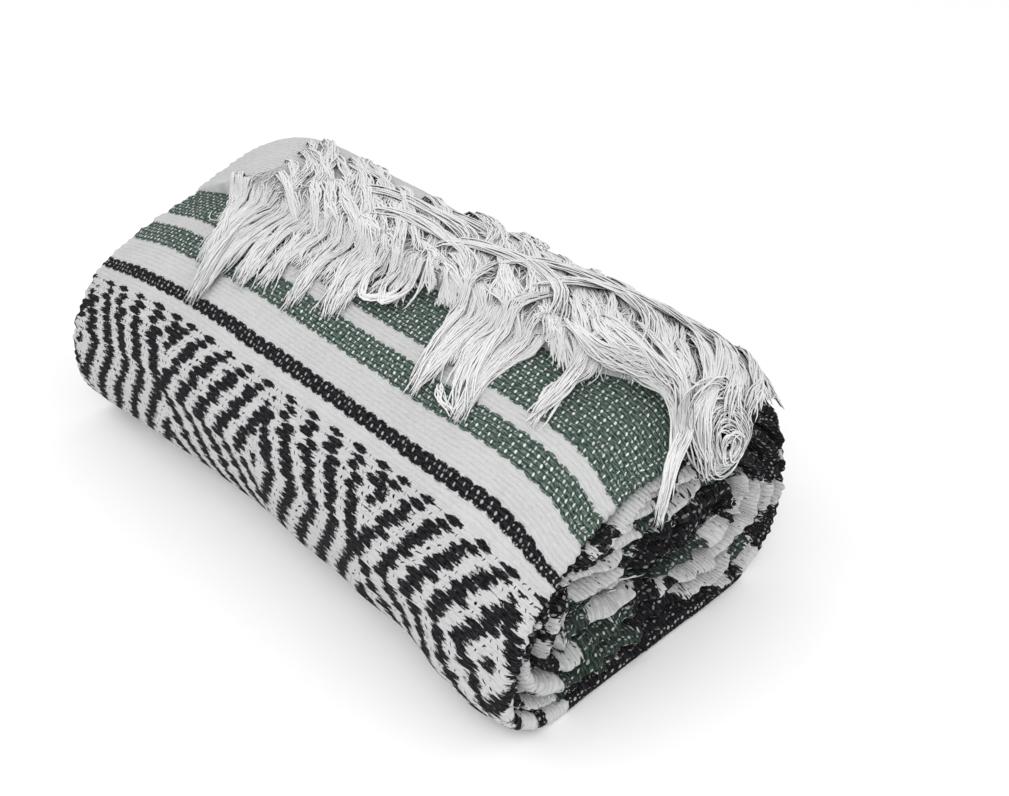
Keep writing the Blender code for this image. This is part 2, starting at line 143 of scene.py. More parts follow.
def on_roll(x, s, rise, place_x=None):
    """Points at distance s round the outline of x and height rise above it, read from the even
    sections by linear steps both ways, and set at place_x along the roll."""
    x, s, rise = np.broadcast_arrays(np.asarray(x, float), s, rise)
    row = np.clip((x - STATIONS[0]) / (STATIONS[1] - STATIONS[0]), 0, len(STATIONS) - 1.000001)
    column = (s / length_round(x)) % 1 * DENSE
    i, j = row.astype(int), column.astype(int) % DENSE
    u, v = (row - i)[..., None], (column - np.floor(column))[..., None]
    after = (j + 1) % DENSE

    def read(table):
        return (table[i, j] * (1 - v) + table[i, after] * v) * (1 - u) + (
            table[i + 1, j] * (1 - v) + table[i + 1, after] * v
        ) * u

    flat = read(EVEN) + read(OUT) * rise[..., None]
    along = x if place_x is None else np.broadcast_to(place_x, x.shape)
    return np.stack([along + X_SHIFT, flat[..., 0] + Y_SHIFT, flat[..., 1]], axis=-1)


def hem_s(x):
    """Where the hem lies: a slanted line with one slow wave, and a bay near the near end."""
    place, half, deep = HEM_BAY
    bay = deep * np.exp(-(((x - place) / half) ** 2))
    return HEM_MIDDLE + HEM_SLANT * x + HEM_WAVE * np.sin(x / ROLL_LENGTH * 2 * np.pi) - bay


def ease(t):
    """Nought to one, level at both ends."""
    t = np.clip(t, 0, 1)
    return t * t * (3 - 2 * t)


def climb(share):
    """Rise of the outer turn at a share of its way round: it ends one hem's step higher."""
    return HEM_STEP * ease((share - CLIMB_FROM) / (CLIMB_TO - CLIMB_FROM))


print(f"hem at both ends: {hem_s(STATIONS[0]) * 1000:.1f} and {hem_s(STATIONS[-1]) * 1000:.1f} mm")

# %% [markdown]
# ## Camera
# The camera stands to the right of the roll and looks down on it, so the front, the top and the
# near end all show. Its turn and drop could be set by a constraint that follows the roll. Here its
# three axes are worked out from two angles instead, so that nothing depends on another object.

# %% Camera
CAMERA_PLACE = np.array([0.5144 + X_SHIFT, -0.4094 + Y_SHIFT, 0.4697])
CAMERA_TURN, CAMERA_DROP = np.radians(44.5), np.radians(31.85)
LENS_MM = 44.53


def stood(right, up, back, place):
    """The matrix of an object that has these three axes and stands at this place."""
    axes = np.eye(4)
    axes[:3] = np.column_stack([right, up, back, place])
    return Matrix(axes.tolist())


towards = np.array([
    -np.cos(CAMERA_TURN) * np.cos(CAMERA_DROP),
    np.sin(CAMERA_TURN) * np.cos(CAMERA_DROP),
    -np.sin(CAMERA_DROP),
])
right = np.array([np.sin(CAMERA_TURN), np.cos(CAMERA_TURN), 0.0])
upward = np.cross(right, towards)
camera_data = bpy.data.cameras.new("camera")
camera_data.lens = LENS_MM
camera_data.sensor_width = 36.0
camera_data.clip_start = 0.01
camera = bpy.data.objects.new("camera", camera_data)
bpy.context.scene.collection.objects.link(camera)
camera.matrix_world = stood(right, upward, -towards, CAMERA_PLACE)
bpy.context.scene.camera = camera
bpy.context.scene.view_settings.view_transform = "Standard"
print("camera at", CAMERA_PLACE.round(3))

# %% [markdown]
# ## Wires between shader nodes
# A material is a net of nodes, and a pattern as fine as a weave takes hundreds. They could be laid
# one by one in the editor. A small class that wraps a socket lets each be written as a formula
# instead, and adds its Math nodes. Colours go through Mix nodes, since Math would turn them grey.


# %% Wires and their sums
class Wire:
    """A socket of a material's nodes. Sums, products and comparisons of wires add Math nodes."""

    tree = None  # the node tree that is being built

    def __init__(self, socket):
        self.socket = socket

    @classmethod
    def node(cls, kind, settings=None, inputs=None, output=0):
        """A node of this type, with its settings and then its sockets' values or links."""
        made = cls.tree.nodes.new(kind)
        for name, value in (settings or {}).items():
            setattr(made, name, value)
        for key, value in (inputs or {}).items():
            if isinstance(value, Wire):
                cls.tree.links.new(value.socket, made.inputs[key])
            else:
                made.inputs[key].default_value = value
        return cls(made.outputs[output])

    @classmethod
    def math(cls, operation, *values, clamp=False):
        return cls.node(
            "ShaderNodeMath", {"operation": operation, "use_clamp": clamp}, dict(enumerate(values))
        )

    def __add__(self, other):
        return Wire.math("ADD", self, other)

    __radd__ = __add__

    def __sub__(self, other):
        return Wire.math("SUBTRACT", self, other)

    def __rsub__(self, other):
        return Wire.math("SUBTRACT", other, self)

    def __mul__(self, other):
        return Wire.math("MULTIPLY", self, other)

    __rmul__ = __mul__

    def __truediv__(self, other):
        return Wire.math("DIVIDE", self, other)

    def __pow__(self, other):
        return Wire.math("POWER", self, other)

    def __gt__(self, other):
        return Wire.math("GREATER_THAN", self, other)

    def __abs__(self):
        return Wire.math("ABSOLUTE", self)


# %% Helpers for patterns
def clamped(value):
    """The value kept between nought and one."""
    return Wire.math("ADD", value, 0.0, clamp=True)


def between(value, low, high, soft):
    """One between low and high, nought outside, with edges that fade over the width soft."""
    return clamped((value - low) / soft + 0.5) * clamped((high - value) / soft + 0.5)


def mixed(mask, first, second):
    """The first colour, and the second where the mask is one."""
    return Wire.node(
        "ShaderNodeMix",
        {"data_type": "RGBA"},
        {"Factor": mask, "A": first, "B": second},
        output="Result",
    )


def whole(value):
    """The whole number at the value or next below it."""
    return Wire.math("FLOOR", value)


def distance(a, b):
    """How far the point (a, b) is from nought."""
    return Wire.math("SQRT", a * a + b * b)


def vector(x, y, z=0.0):
    """One vector from three numbers."""
    return Wire.node("ShaderNodeCombineXYZ", inputs={"X": x, "Y": y, "Z": z})


def parts(value):
    """The three numbers of a vector."""
    made = Wire.node("ShaderNodeSeparateXYZ", inputs={"Vector": value})
    return [Wire(output) for output in made.socket.node.outputs]


def vector_math(operation, *values, **named):
    """A sum or other step on whole vectors."""
    inputs = {**dict(enumerate(values)), **named}
    return Wire.node("ShaderNodeVectorMath", {"operation": operation}, inputs)


def noise(place, scale, detail=2.0):
    """Smooth noise about one half at a place, scale being how many waves go in one unit."""
    inputs = {"Vector": place, "Scale": scale, "Detail": detail}
    return Wire.node("ShaderNodeTexNoise", inputs=inputs)


def random_of(place):
    """A random number for each whole place."""
    return Wire.node(
        "ShaderNodeTexWhiteNoise", {"noise_dimensions": "3D"}, {"Vector": place}, output="Value"
    )


# %% Helpers for materials
def start_material(name):
    """A material with a Principled surface, whose nodes the wires now add to."""
    material = bpy.data.materials.new(name)
    material.use_nodes = True
    Wire.tree = material.node_tree
    return material, material.node_tree.nodes["Principled BSDF"]


def connect(wire, socket):
    """A link from the wire to a socket of the surface."""
    Wire.tree.links.new(wire.socket, socket)


# %% [markdown]
# ## Floor and light
# The light is that of a white studio: a bright sky all round, two large soft lamps above, and a
# third close to the camera that fills the shadows between the yarns. One strong lamp would be
# simpler, but it would sink the seams of the coil and the gaps in the fringe in black.

# %% Floor and lamps
FLOOR_HALF = 3.0
FLOOR_WHITE = (0.97, 0.97, 0.97, 1.0)
SKY_STRENGTH = 0.95
KEY = {"place": (-0.6, -1.5, 1.9), "size": 1.8, "watts": 7.0}
FILL = {"place": (1.6, 0.9, 1.5), "size": 1.4, "watts": 3.0}
FRONT = {"place": (0.95, -0.85, 1.05), "size": 0.6, "watts": 5.5}

floor_mesh = bpy.data.meshes.new("floor")
corners = [(x * FLOOR_HALF, y * FLOOR_HALF, 0.0) for x, y in ((-1, -1), (1, -1), (1, 1), (-1, 1))]
floor_mesh.from_pydata(corners, [], [(0, 1, 2, 3)])
floor = bpy.data.objects.new("floor", floor_mesh)
bpy.context.scene.collection.objects.link(floor)
floor_material, floor_surface = start_material("pale_floor")
floor_surface.inputs["Base Color"].default_value = FLOOR_WHITE
floor_surface.inputs["Roughness"].default_value = 0.9
floor_surface.inputs["Specular IOR Level"].default_value = 0.1
floor_mesh.materials.append(floor_material)

world = bpy.data.worlds.new("studio")
world.use_nodes = True
sky = world.node_tree.nodes["Background"]
sky.inputs["Color"].default_value = (1.0, 1.0, 1.0, 1.0)
sky.inputs["Strength"].default_value = SKY_STRENGTH
bpy.context.scene.world = world


def soft_lamp(name, lamp):
    """A square area lamp at its place, turned to the middle of the roll."""
    data = bpy.data.lights.new(name, "AREA")
    data.size, data.energy = lamp["size"], lamp["watts"]
    light = bpy.data.objects.new(name, data)
    place = np.array(lamp["place"])
    back = unit(place)
    side = unit(np.cross((0, 0, 1), back))
    light.matrix_world = stood(side, np.cross(back, side), back, place)
    bpy.context.scene.collection.objects.link(light)


soft_lamp("key", KEY)
soft_lamp("fill", FILL)
soft_lamp("front", FRONT)
print("lamps' watts:", KEY["watts"], FILL["watts"], FRONT["watts"])

# %% [markdown]
# ## Meshes from grids
# Each piece is a grid of points worked out as whole arrays. One helper turns grids into a mesh,
# and gives every corner its place on the flat cloth: across the width, and along the length. A
# flat pattern could be projected on the roll instead, but it would smear where the cloth turns
# away. The weave's material reads that place, so the stripes follow the cloth all the way round.


# %% Grid helper
def link_mesh(name, points, quads, material, maps=()):
    """One smooth object from points (n, 3) and quads (m, 4). A map is a name and values (n, 2), and
    every corner of a quad keeps its point's value in the UV map of that name."""
    mesh = bpy.data.meshes.new(name)
    mesh.vertices.add(len(points))
    mesh.vertices.foreach_set("co", points.astype(np.float32).ravel())
    mesh.loops.add(quads.size)
    mesh.loops.foreach_set("vertex_index", quads.astype(np.int32).ravel())
    mesh.polygons.add(len(quads))
    mesh.polygons.foreach_set("loop_start", np.arange(0, quads.size, 4, dtype=np.int32))
    mesh.update(calc_edges=True)
    for map_name, value in maps:
        layer = mesh.uv_layers.new(name=map_name)
        layer.data.foreach_set("uv", value[quads.ravel()].astype(np.float32).ravel())
    mesh.shade_smooth()
    mesh.materials.append(material)
    obj = bpy.data.objects.new(name, mesh)
    bpy.context.scene.collection.objects.link(obj)
    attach(obj, "root")
    print(f"{name}: {2 * len(quads)} triangles")
    return obj


def mesh_from_grids(name, grids, material, flip=False, maps=("weave",)):
    """One object from grids of (points, flat places and any further maps), each rows by columns: a
    quad joins each four neighbours."""
    points, values, quads, start = [], [], [], 0
    for corner_points, *own in grids:
        rows, columns = corner_points.shape[:2]
        index = start + np.arange(rows * columns).reshape(rows, columns)
        cells = np.stack([index[:-1, :-1], index[:-1, 1:], index[1:, 1:], index[1:, :-1]], axis=-1)
        quads.append(cells.reshape(-1, 4))
        points.append(corner_points.reshape(-1, 3))
        values.append(np.stack([value.reshape(-1, 2) for value in own]))
        start += rows * columns
    quads = np.concatenate(quads)
    if flip:
        quads = quads[:, ::-1]
    named = zip(maps, np.concatenate(values, axis=1))
    return link_mesh(name, np.concatenate(points), quads, material, named)


def ripples(y, z, length, seed, waves=9):
    """Soft unevenness about nought: a sum of sine waves of about this length, in directions that
    the seed fixes."""
    random = np.random.default_rng(seed)
    total = 0.0
    for _ in range(waves):
        angle, phase = random.uniform(0, 2 * np.pi, 2)
        k = 2 * np.pi / (length * random.uniform(0.7, 1.6))
        total = total + np.sin(k * (y * np.cos(angle) + z * np.sin(angle)) + phase)
    return total / np.sqrt(waves)


# %% [markdown]
# ## The weave
# The cloth is plain weave. Cotton wefts run across the blanket and hide most of the warp, which
# shows as small white dots where the weft dives under it. A row of weft humps is staggered by half
# against its neighbours, so the edge between two colours is scalloped. Every yarn could be its own
# tube, but that takes millions of faces. Formulas on the flat cloth need none, and stay sharp.

# %% Sizes of the weave, in millimetres
PICK = 2.88  # height of a row of weft
WARP_PAIR = 9.55  # from one warp dot to the next in its row
DIAMOND_FROM, DIAMOND_TO, DIAMOND_ROWS = 87.5, 183.0, 21
DIAMOND_PICK = (DIAMOND_TO - DIAMOND_FROM) / DIAMOND_ROWS
DIAMOND_PLACE, DIAMOND_HALF = 0.5, 101.5  # a diamond's middle across the width, half its repeat
LINE_ACROSS, LINE_ALONG = 20.2, 33.7  # from line to line, across the width and along the length
FIRST_LINE = 0.90
MIRROR_TOP, MIRROR_FLOOR = -10.0, 285.0  # the stripes mirror above the first, not below the second
GREEN_STRIPES = ((-20.5, 7.5), (11.5, 17.5))  # counted in rows, from edge to edge
BLACK_STRIPES = ((24.5, 27.5), (66.5, 69.5), (75.5, 126.5), (133.5, 177.5))
STRIPE_SOFT = 0.16  # rows over which a stripe's edge fades
COLUMN_SWAY, ROW_SWAY = 5.0, 2.0  # how far soft noise moves the columns of dots, and the rows
DOT_LEAN = 0.22  # how much a warp dot leans as it goes down its row
DOT_HALF = (0.48, 1.12)  # half width and half height of a dot in the valleys
MORE_HALF, MORE_FROM = (0.46, 0.75), 0.55  # the same on the humps, and the chance they start at
LEAF_TILT, ROW_JITTER, LINE_WOBBLE = 20.0, 4.6, 9.0
SHAGGY, DASH_SOFT, SPECK_FROM = 1.35, 0.16, 0.6  # a dash's rough edge and fade, and specks' chance
print(f"{1000 / PICK:.0f} rows of weft and {1000 / WARP_PAIR:.0f} warp dots to a metre")

# %% Yarn colours
COTTON = (0.600, 0.600, 0.605, 1.0)
# the cotton's grey: for random greyer patches, and for painted shade in the gaps between rows
COTTON_SHADE = (0.44, 0.44, 0.45, 1.0)
WARP = (0.80, 0.80, 0.80, 1.0)
GREEN = (0.013, 0.032, 0.022, 1.0)
GREEN_LIGHT = (0.200, 0.265, 0.228, 1.0)
BLACK = (0.0025, 0.0025, 0.0032, 1.0)
BLACK_LIGHT = (0.036, 0.036, 0.040, 1.0)
BUMP_STRENGTH, BUMP_DISTANCE = 0.75, 0.0010


# %% Weft rows, warp dots and yarns
def cloth_place():
    """Place on the flat cloth in millimetres: across the width, and along the length."""
    across, along, _ = parts(Wire.node("ShaderNodeUVMap", {"uv_map": "weave"}))
    return across * 1000.0, along * 1000.0


def weft_rows(x, s):
    """Rows of weft humps, staggered by half, with warp dots in the valleys between humps and a few
    on the humps: the count of rows, the place in the row, the hump's round lobe, and the dot's
    height and paleness."""
    swayed = x + (noise(vector(x, s), 0.022) - 0.5) * COLUMN_SWAY
    rows = (s + (noise(vector(x, s, 40.0), 0.045) - 0.5) * ROW_SWAY) / PICK
    row = whole(rows)
    odd = Wire.math("MODULO", abs(row), 2.0)
    v = (rows - row - 0.5) * PICK
    across = swayed / WARP_PAIR + odd * 0.5
    cell = whole(across)
    u = (across - cell - 0.5) * WARP_PAIR
    chance = random_of(vector(cell, row))
    chance_too = random_of(vector(cell, row, 7.0))
    dot_u = (u - v * DOT_LEAN + (chance - 0.5) * 1.3) / (DOT_HALF[0] + chance_too * 0.32)
    dot_v = (v + (chance_too - 0.5) * 0.6) / DOT_HALF[1]
    dot = clamped((1.25 - distance(dot_u, dot_v)) / 0.5)
    more_u = (abs(u) - (0.30 + chance * 0.20) * WARP_PAIR) / MORE_HALF[0]
    more_v = (v + (chance - 0.5) * 1.0) / MORE_HALF[1]
    more = clamped((1.2 - distance(more_u, more_v)) / 0.5)
    dot = Wire.math("MAXIMUM", dot, more * (chance_too > MORE_FROM) * 0.8)
    lobe = 1.0 - (1.0 - abs(u * (2 / WARP_PAIR))) ** 2.4
    return rows, v, lobe, dot, dot * clamped(0.62 + chance * 0.6)


def row_crown(v):
    """Height of a weft row: one along its middle, and nought in the valleys beside it."""
    return 1.0 - (v * (2 / PICK)) ** 2.0


def dyed_yarns(x, s, v, lobe):
    """Cotton, green and black yarn with fibres along the weft and painted shade in the gaps between
    the rows, and the fibres themselves."""
    fibres = noise(vector(x * 0.30, s * 1.5), 1.0, 4.0)
    clouds = noise(vector(x, s, 9.0), 0.06, 3.0)
    # painted shade: this mask is one in the gaps between the weft rows, and darkens the yarns there
    gaps = clamped(abs(v * (2 / PICK)) * 2.6 - 1.7 + (fibres - 0.5) * 2.0)
    fleck = clamped((fibres - 0.39) * 4.2)
    # random greyer cotton from the fibres and clouds, and painted shade in the gaps between rows
    tone_and_gap_shade = clamped((fibres - 0.42) * 1.5 + (0.5 - clouds) * 0.7 + gaps * 0.30)
    cotton = mixed(tone_and_gap_shade, COTTON, COTTON_SHADE)
    # the pale flecks of the green and the black fade out in the gaps, as painted shade
    green = mixed(fleck * (0.62 + 0.38 * lobe) * (1.0 - gaps * 0.85), GREEN, GREEN_LIGHT)
    black = mixed(fleck * (1.0 - gaps * 0.8), BLACK, BLACK_LIGHT)
    return cotton, green, black, fibres


def cloth_surface(surface, colour, height):
    """The colour and a bump on a surface as matt as cotton, with a little sheen from its fibres."""
    connect(colour, surface.inputs["Base Color"])
    inputs = {"Strength": BUMP_STRENGTH, "Distance": BUMP_DISTANCE, "Height": height}
    connect(Wire.node("ShaderNodeBump", inputs=inputs, output="Normal"), surface.inputs["Normal"])
    surface.inputs["Roughness"].default_value = 0.95
    surface.inputs["Specular IOR Level"].default_value = 0.05
    surface.inputs["Sheen Weight"].default_value = 0.012
    surface.inputs["Sheen Roughness"].default_value = 0.5


# %% [markdown]
# ## Stripes and diamonds
# A weaver changes the shuttle to make a stripe, and lays in short lengths of black to make the
# diamonds. In the diamond band each row's dashes are leaf-shaped, and each pair of rows steps them
# sideways, so they line up as slanted lines that open and close. A stripe is a range of rows here,
# and a slanted line is a sum of the places across and along, so both keep to the rows' own humps.


# %% Stripes
def mirrored(place, low, high):
    """The place, folded back where it is under low, and left as it is over high."""
    folded = low + Wire.math("PINGPONG", place - low, high - low)
    return folded + (place > high) * (place - folded)


def striped(rows, stripes, bulge):
    """One inside the stripes and nought between them. Their edges bulge with the humps."""
    bands = [between(rows, low - bulge, bulge + high, STRIPE_SOFT) for low, high in stripes]
    return sum(bands[1:], bands[0])


# %% Diamonds
def slanted_lines(x, rows_down, leaf_row, leaf_v):
    """Distance from the middle of the nearest slanted line, nought to one, the line's number, and
    the distance from the diamonds' middle row. Along a line, the place across over LINE_ACROSS
    plus the place along over LINE_ALONG stays the same."""
    pair = whole((leaf_row + 1.0) * 0.5)
    stepped = (pair * 2.0 - (DIAMOND_ROWS - 1) / 2) * DIAMOND_PICK
    smooth = (rows_down - (DIAMOND_ROWS - 1) / 2) * DIAMOND_PICK
    from_row = stepped * 0.5 + smooth * 0.5
    chance = random_of(vector(leaf_row, 3.0)) - 0.5
    wobble = noise(vector(x * 0.10, leaf_row * 0.83), 1.0) - 0.5
    tilt = noise(vector(x * 0.06, leaf_row * 0.31, 5.0), 1.0) - 0.5
    across = x + leaf_v * tilt * LEAF_TILT + chance * ROW_JITTER + wobble * LINE_WOBBLE
    from_middle = Wire.math("PINGPONG", across - DIAMOND_PLACE, DIAMOND_HALF)
    line = from_middle / LINE_ACROSS + abs(from_row) / LINE_ALONG - FIRST_LINE + 0.5
    number = whole(line)
    return abs(line - number - 0.5) * 2.0, number, from_row


def diamond_band(x, s, rows, rough):
    """Where the diamonds' band is, where it is black, and how high it stands. A dash reaches to
    both sides of its line: as a leaf with a belly in the upper half, as a band in the lower."""
    place = mirrored(rows * PICK, MIRROR_TOP, MIRROR_FLOOR)
    in_band = between(place + rough * 1.2, DIAMOND_FROM, DIAMOND_TO, 0.5)
    rows_down = (place - DIAMOND_FROM) / DIAMOND_PICK
    leaf_row = whole(rows_down)
    leaf_v = rows_down - leaf_row - 0.5
    to_line, line_number, from_row = slanted_lines(x, rows_down, leaf_row, leaf_v)
    belly = clamped(1.06 - abs(leaf_v) * (1.80 - 0.95 * clamped((rows_down - 1.0) * 0.6)))
    leaf_long = noise(vector(x * 0.05, leaf_row * 1.3, 15.0), 1.0)
    leaf = belly * (0.42 + leaf_long * 0.52)
    band = 0.62 - 0.42 * abs(leaf_v)
    reach = leaf + clamped((from_row + 6.0) / 14.0) * (band - leaf)
    shaggy = noise(vector(x * 0.35, s * 1.1, 25.0), 1.0, 4.0) - 0.5
    dash = clamped((reach - to_line + shaggy * SHAGGY) / DASH_SOFT + 0.5)
    speck_chance = random_of(vector(leaf_row, line_number, 11.0)) > SPECK_FROM
    speck = clamped((0.95 - distance((1.0 - to_line) * LINE_ACROSS / 2, leaf_v * 3.6)) / 0.3)
    inked = Wire.math("MAXIMUM", dash, speck * speck_chance)
    height = (1.0 - (leaf_v * 2.0) ** 2.0) * (0.95 + 0.5 * abs(to_line - 0.5))
    return in_band, inked, height


# %% The weave's material
def weave_material():
    """Stripes, diamonds and warp dots from the place on the flat cloth, with a bump to match."""
    material, surface = start_material("woven_cotton")
    x, s = cloth_place()
    rows, v, lobe, dot, dot_light = weft_rows(x, s)
    rough = noise(vector(x * 0.45, s * 1.8), 1.0, 3.0) - 0.5
    bulge = 0.46 * lobe - 0.26 + rough * 1.1
    in_order = mirrored(rows, MIRROR_TOP / PICK, MIRROR_FLOOR / PICK)
    green = striped(in_order, GREEN_STRIPES, bulge)
    black = striped(in_order, BLACK_STRIPES, bulge)
    in_band, inked, leaf_height = diamond_band(x, s, rows, rough)

    cotton, green_yarn, black_yarn, fibres = dyed_yarns(x, s, v, lobe)
    coloured = clamped(green + black)
    colour = mixed(black, mixed(green, cotton, green_yarn), black_yarn)
    colour = mixed(dot_light * (green + black * 0.55), colour, WARP)
    colour = mixed(in_band, colour, mixed(inked, cotton, black_yarn))

    # humps, dots and fibres raise the surface
    uneven = noise(vector(x * 0.22, s * 0.5, 31.0), 1.0, 2.0)
    plain_height = 0.15 + 0.5 * uneven + lobe * (0.2 + 0.7 * coloured)
    stripe_height = row_crown(v) * plain_height + dot * coloured * 0.6
    height = stripe_height + in_band * (leaf_height - stripe_height) + fibres * 1.3
    cloth_surface(surface, colour, height)
    return material


WOVEN = weave_material()
print("weave material:", len(WOVEN.node_tree.nodes), "nodes")

# %% [markdown]
# ## The outer turn of cloth
# This is the sheet that shows most. It starts at the foot of the hem, goes over the front, under
# the roll and up the back, and ends at the hem. A cloth simulation could wrap it, but its folds
# would not stay where they are wanted. So a grid is laid on the outline, and folds are pressed
# into it. Its rows follow the weft, three to a row of humps where it shows, so that the ribs are
# real, and its long sides turn in as small rolled edges.

# %% Large folds and small ribs
FOLDS = np.array([
    # x, s, half length, half width, turn in degrees, depth
    (0.165, 0.135, 0.060, 0.014, -35.0, 0.0035),
    (0.188, 0.060, 0.030, 0.016, 40.0, 0.0022),
    (-0.175, 0.120, 0.045, 0.016, 25.0, 0.0030),
    (-0.060, 0.150, 0.090, 0.014, 6.0, 0.0022),
    (0.060, 0.045, 0.080, 0.018, -8.0, 0.0012),
    (-0.150, 0.450, 0.060, 0.016, 30.0, 0.0050),
    (0.030, 0.430, 0.080, 0.014, -12.0, 0.0042),
    (0.130, 0.440, 0.060, 0.018, 24.0, 0.0046),
    (-0.040, 0.480, 0.060, 0.015, 10.0, 0.0036),
    (0.228, 0.485, 0.045, 0.050, 0.0, 0.0120),
    (0.020, 0.181, 0.120, 0.024, 0.0, 0.0036),
    (0.137, 0.178, 0.032, 0.024, 0.0, 0.0050),
    (-0.178, 0.526, 0.042, 0.034, 0.0, -0.0095),
    (-0.232, 0.582, 0.036, 0.050, 0.0, 0.0165),
])
CREASES = np.array([
    # the same columns; ridges have a depth below nought
    (0.192, 0.150, 0.022, 0.006, -52.0, 0.0022),
    (0.186, 0.112, 0.026, 0.007, -28.0, -0.0016),
    (0.176, 0.178, 0.030, 0.007, -20.0, 0.0018),
    (0.120, 0.170, 0.050, 0.008, -10.0, -0.0014),
    (0.020, 0.128, 0.060, 0.010, 9.0, 0.0012),
    (-0.080, 0.108, 0.040, 0.010, 18.0, -0.0011),
    (-0.150, 0.165, 0.045, 0.008, -12.0, 0.0015),
    (-0.190, 0.090, 0.024, 0.009, 55.0, 0.0016),
    (-0.120, 0.060, 0.050, 0.012, 4.0, -0.0010),
    (0.195, 0.020, 0.016, 0.008, 70.0, 0.0012),
    (-0.170, 0.480, 0.040, 0.008, 40.0, 0.0020),
    (0.080, 0.455, 0.060, 0.009, -14.0, -0.0018),
    (0.180, 0.430, 0.035, 0.007, 50.0, 0.0022),
    (-0.040, 0.500, 0.070, 0.010, 8.0, 0.0014),
])
print(len(FOLDS), "folds and", len(CREASES), "creases")


def trough_depth(x, s, table):
    """Depth of long soft troughs: each is a bell across and along its own turned axes."""
    depth = np.zeros(np.broadcast(x, s).shape)
    for at_x, at_s, half_x, half_s, turn_degrees, deep in table:
        turned = np.radians(turn_degrees)
        along = (x - at_x) * np.cos(turned) + (s - at_s) * np.sin(turned)
        aside = (s - at_s) * np.cos(turned) - (x - at_x) * np.sin(turned)
        depth += deep * np.exp(-((along / half_x) ** 2) - (aside / half_s) ** 2)
    return depth


RIB, DIAMOND_RIB = 0.00030, 0.00055  # heights of a row of weft and of a row in the diamonds


def rib_height(x, s):
    """Height of the weft humps: a round row, higher where its hump lies, staggered row by row."""
    x, s = x * 1000.0, s * 1000.0
    row = np.floor(s / PICK)
    v = s / PICK - row - 0.5
    hump = 0.5 + 0.5 * np.cos(2 * np.pi * (x / WARP_PAIR + 0.5 * (row % 2)))
    plain = RIB * (1 - 4 * v * v) * (0.45 + 0.55 * hump)
    leaf = (s - DIAMOND_FROM) / DIAMOND_PICK
    leaf_v = leaf - np.floor(leaf) - 0.5
    banded = DIAMOND_RIB * (1 - 4 * leaf_v * leaf_v)
    return np.where((s > DIAMOND_FROM) & (s < DIAMOND_TO), banded, plain)


# %% Rows and columns of the outer turn
LIP_RADIUS = 0.0038
STRIPE_SHIFT = np.array([
    # x, and how far the stripes on top are pushed down the front there, in mm
    (-215, 3.0), (-150, 2.6), (-95, 0.8), (-55, 0.0), (-15, -0.3), (35, 0.0), (85, 0.8),
    (115, -0.2), (150, -1.8), (165, -2.6), (185, -0.6), (207, 4.5), (220, 6.0),
])


def stripe_place(x, s):
    """Place along the blanket at x and s: the stripes on top wave, and those below don't."""
    shift = np.interp(x, STRIPE_SHIFT[:, 0] / 1000, STRIPE_SHIFT[:, 1] / 1000)
    return s - shift * (1 - ease((s - 0.070) / 0.022))


LIP_COLUMNS = 9
LIP_BACK = 0.004  # how far the turned-in edge runs back into the coil
LIP_X = ROLL_LENGTH / 2 - LIP_RADIUS
COLUMN = WARP_PAIR / 4000.0  # metres from column to column, four to a warp dot
SHOWN_FROM, FLOOR_FROM, FLOOR_TO, BACK_TO = 0.030, 0.210, 0.360, 0.500
HEM_TUCK = 0.004  # how far the first row runs under the hem
FAN_ROWS, FLOOR_ROWS, CLOSING_ROWS = 18, 24, 26


def picks(low, high, pick, each):
    """Places of rows, this many to each pick, evenly inside it."""
    count = int(round((high - low) / pick)) * each
    return low + (np.arange(count) + 0.5) * (high - low) / count


def outer_rows(x):
    """Distances s of the rows at each x: they fan out from the hem, follow the weft over the front,
    the floor and the back, and close up to the hem again at the end."""
    fan = picks(0.0, 1.0, 1 / FAN_ROWS, 2)[:, None]
    start = hem_s(x)[None, :]
    end = start + length_round(x)[None, :]
    first = start + (SHOWN_FROM - start) * fan
    level = np.concatenate([
        picks(SHOWN_FROM, DIAMOND_FROM / 1000, PICK / 1000, 3),
        picks(DIAMOND_FROM / 1000, DIAMOND_TO / 1000, DIAMOND_PICK / 1000, 4),
        picks(DIAMOND_TO / 1000, FLOOR_FROM, PICK / 1000, 3),
        np.linspace(FLOOR_FROM, FLOOR_TO, FLOOR_ROWS + 2)[1:-1],
        picks(FLOOR_TO, BACK_TO, PICK / 1000, 2),
    ])[:, None] + 0 * start
    last = BACK_TO + (end - BACK_TO) * picks(0.0, 1.0, 1 / CLOSING_ROWS, 2)[:, None]
    return np.concatenate([start - HEM_TUCK, start, first, level, last, end], axis=0)


print("outer turn:", len(outer_rows(STATIONS)), "rows")

# %% Ragged edges at both ends
EDGE_WAVES = ((0.0012, 0.09, 21), (0.0008, 0.011, 61))  # height and length of each, and its seed
LOOP = 0.0007  # how far the weft's turns stand out, row by row
FAR_TOP, FAR_BACK = 0.0055, 0.004  # how far the far end's cloth stands out on top, and at the back
NEAR_EDGE = np.array([
    # s, and how far the near edge stands back from the end there, in mm
    (-130, 3), (-90, 8), (-30, 10), (20, 10), (45, 9), (60, 7), (75, 4), (95, 1), (140, 0),
    (230, 1), (330, 1), (390, 2), (430, 7), (500, 9), (520, 9),
])


def edge_wave(end, s):
    """How far an end's edge stands out or in along the roll: a few slow uneven waves, the short
    loops of the weft's turns, and the near edge's own drawn-back stretches."""
    aside = 0 * s + end * 0.3
    small = sum(tall * ripples(s, aside, long, seed + end) for tall, long, seed in EDGE_WAVES)
    small = small + LOOP * np.sin(np.pi * s * 1000 / PICK)
    small = small * (1 - 0.8 * ease((s - 0.19) / 0.03) * ease((0.40 - s) / 0.03))
    if end < 0:
        top = FAR_TOP * (1 - ease((s - 0.045) / 0.05))
        return small + top + FAR_BACK * ease((s - 0.36) / 0.08)
    return small - np.interp(s, NEAR_EDGE[:, 0] / 1000, NEAR_EDGE[:, 1] / 1000)


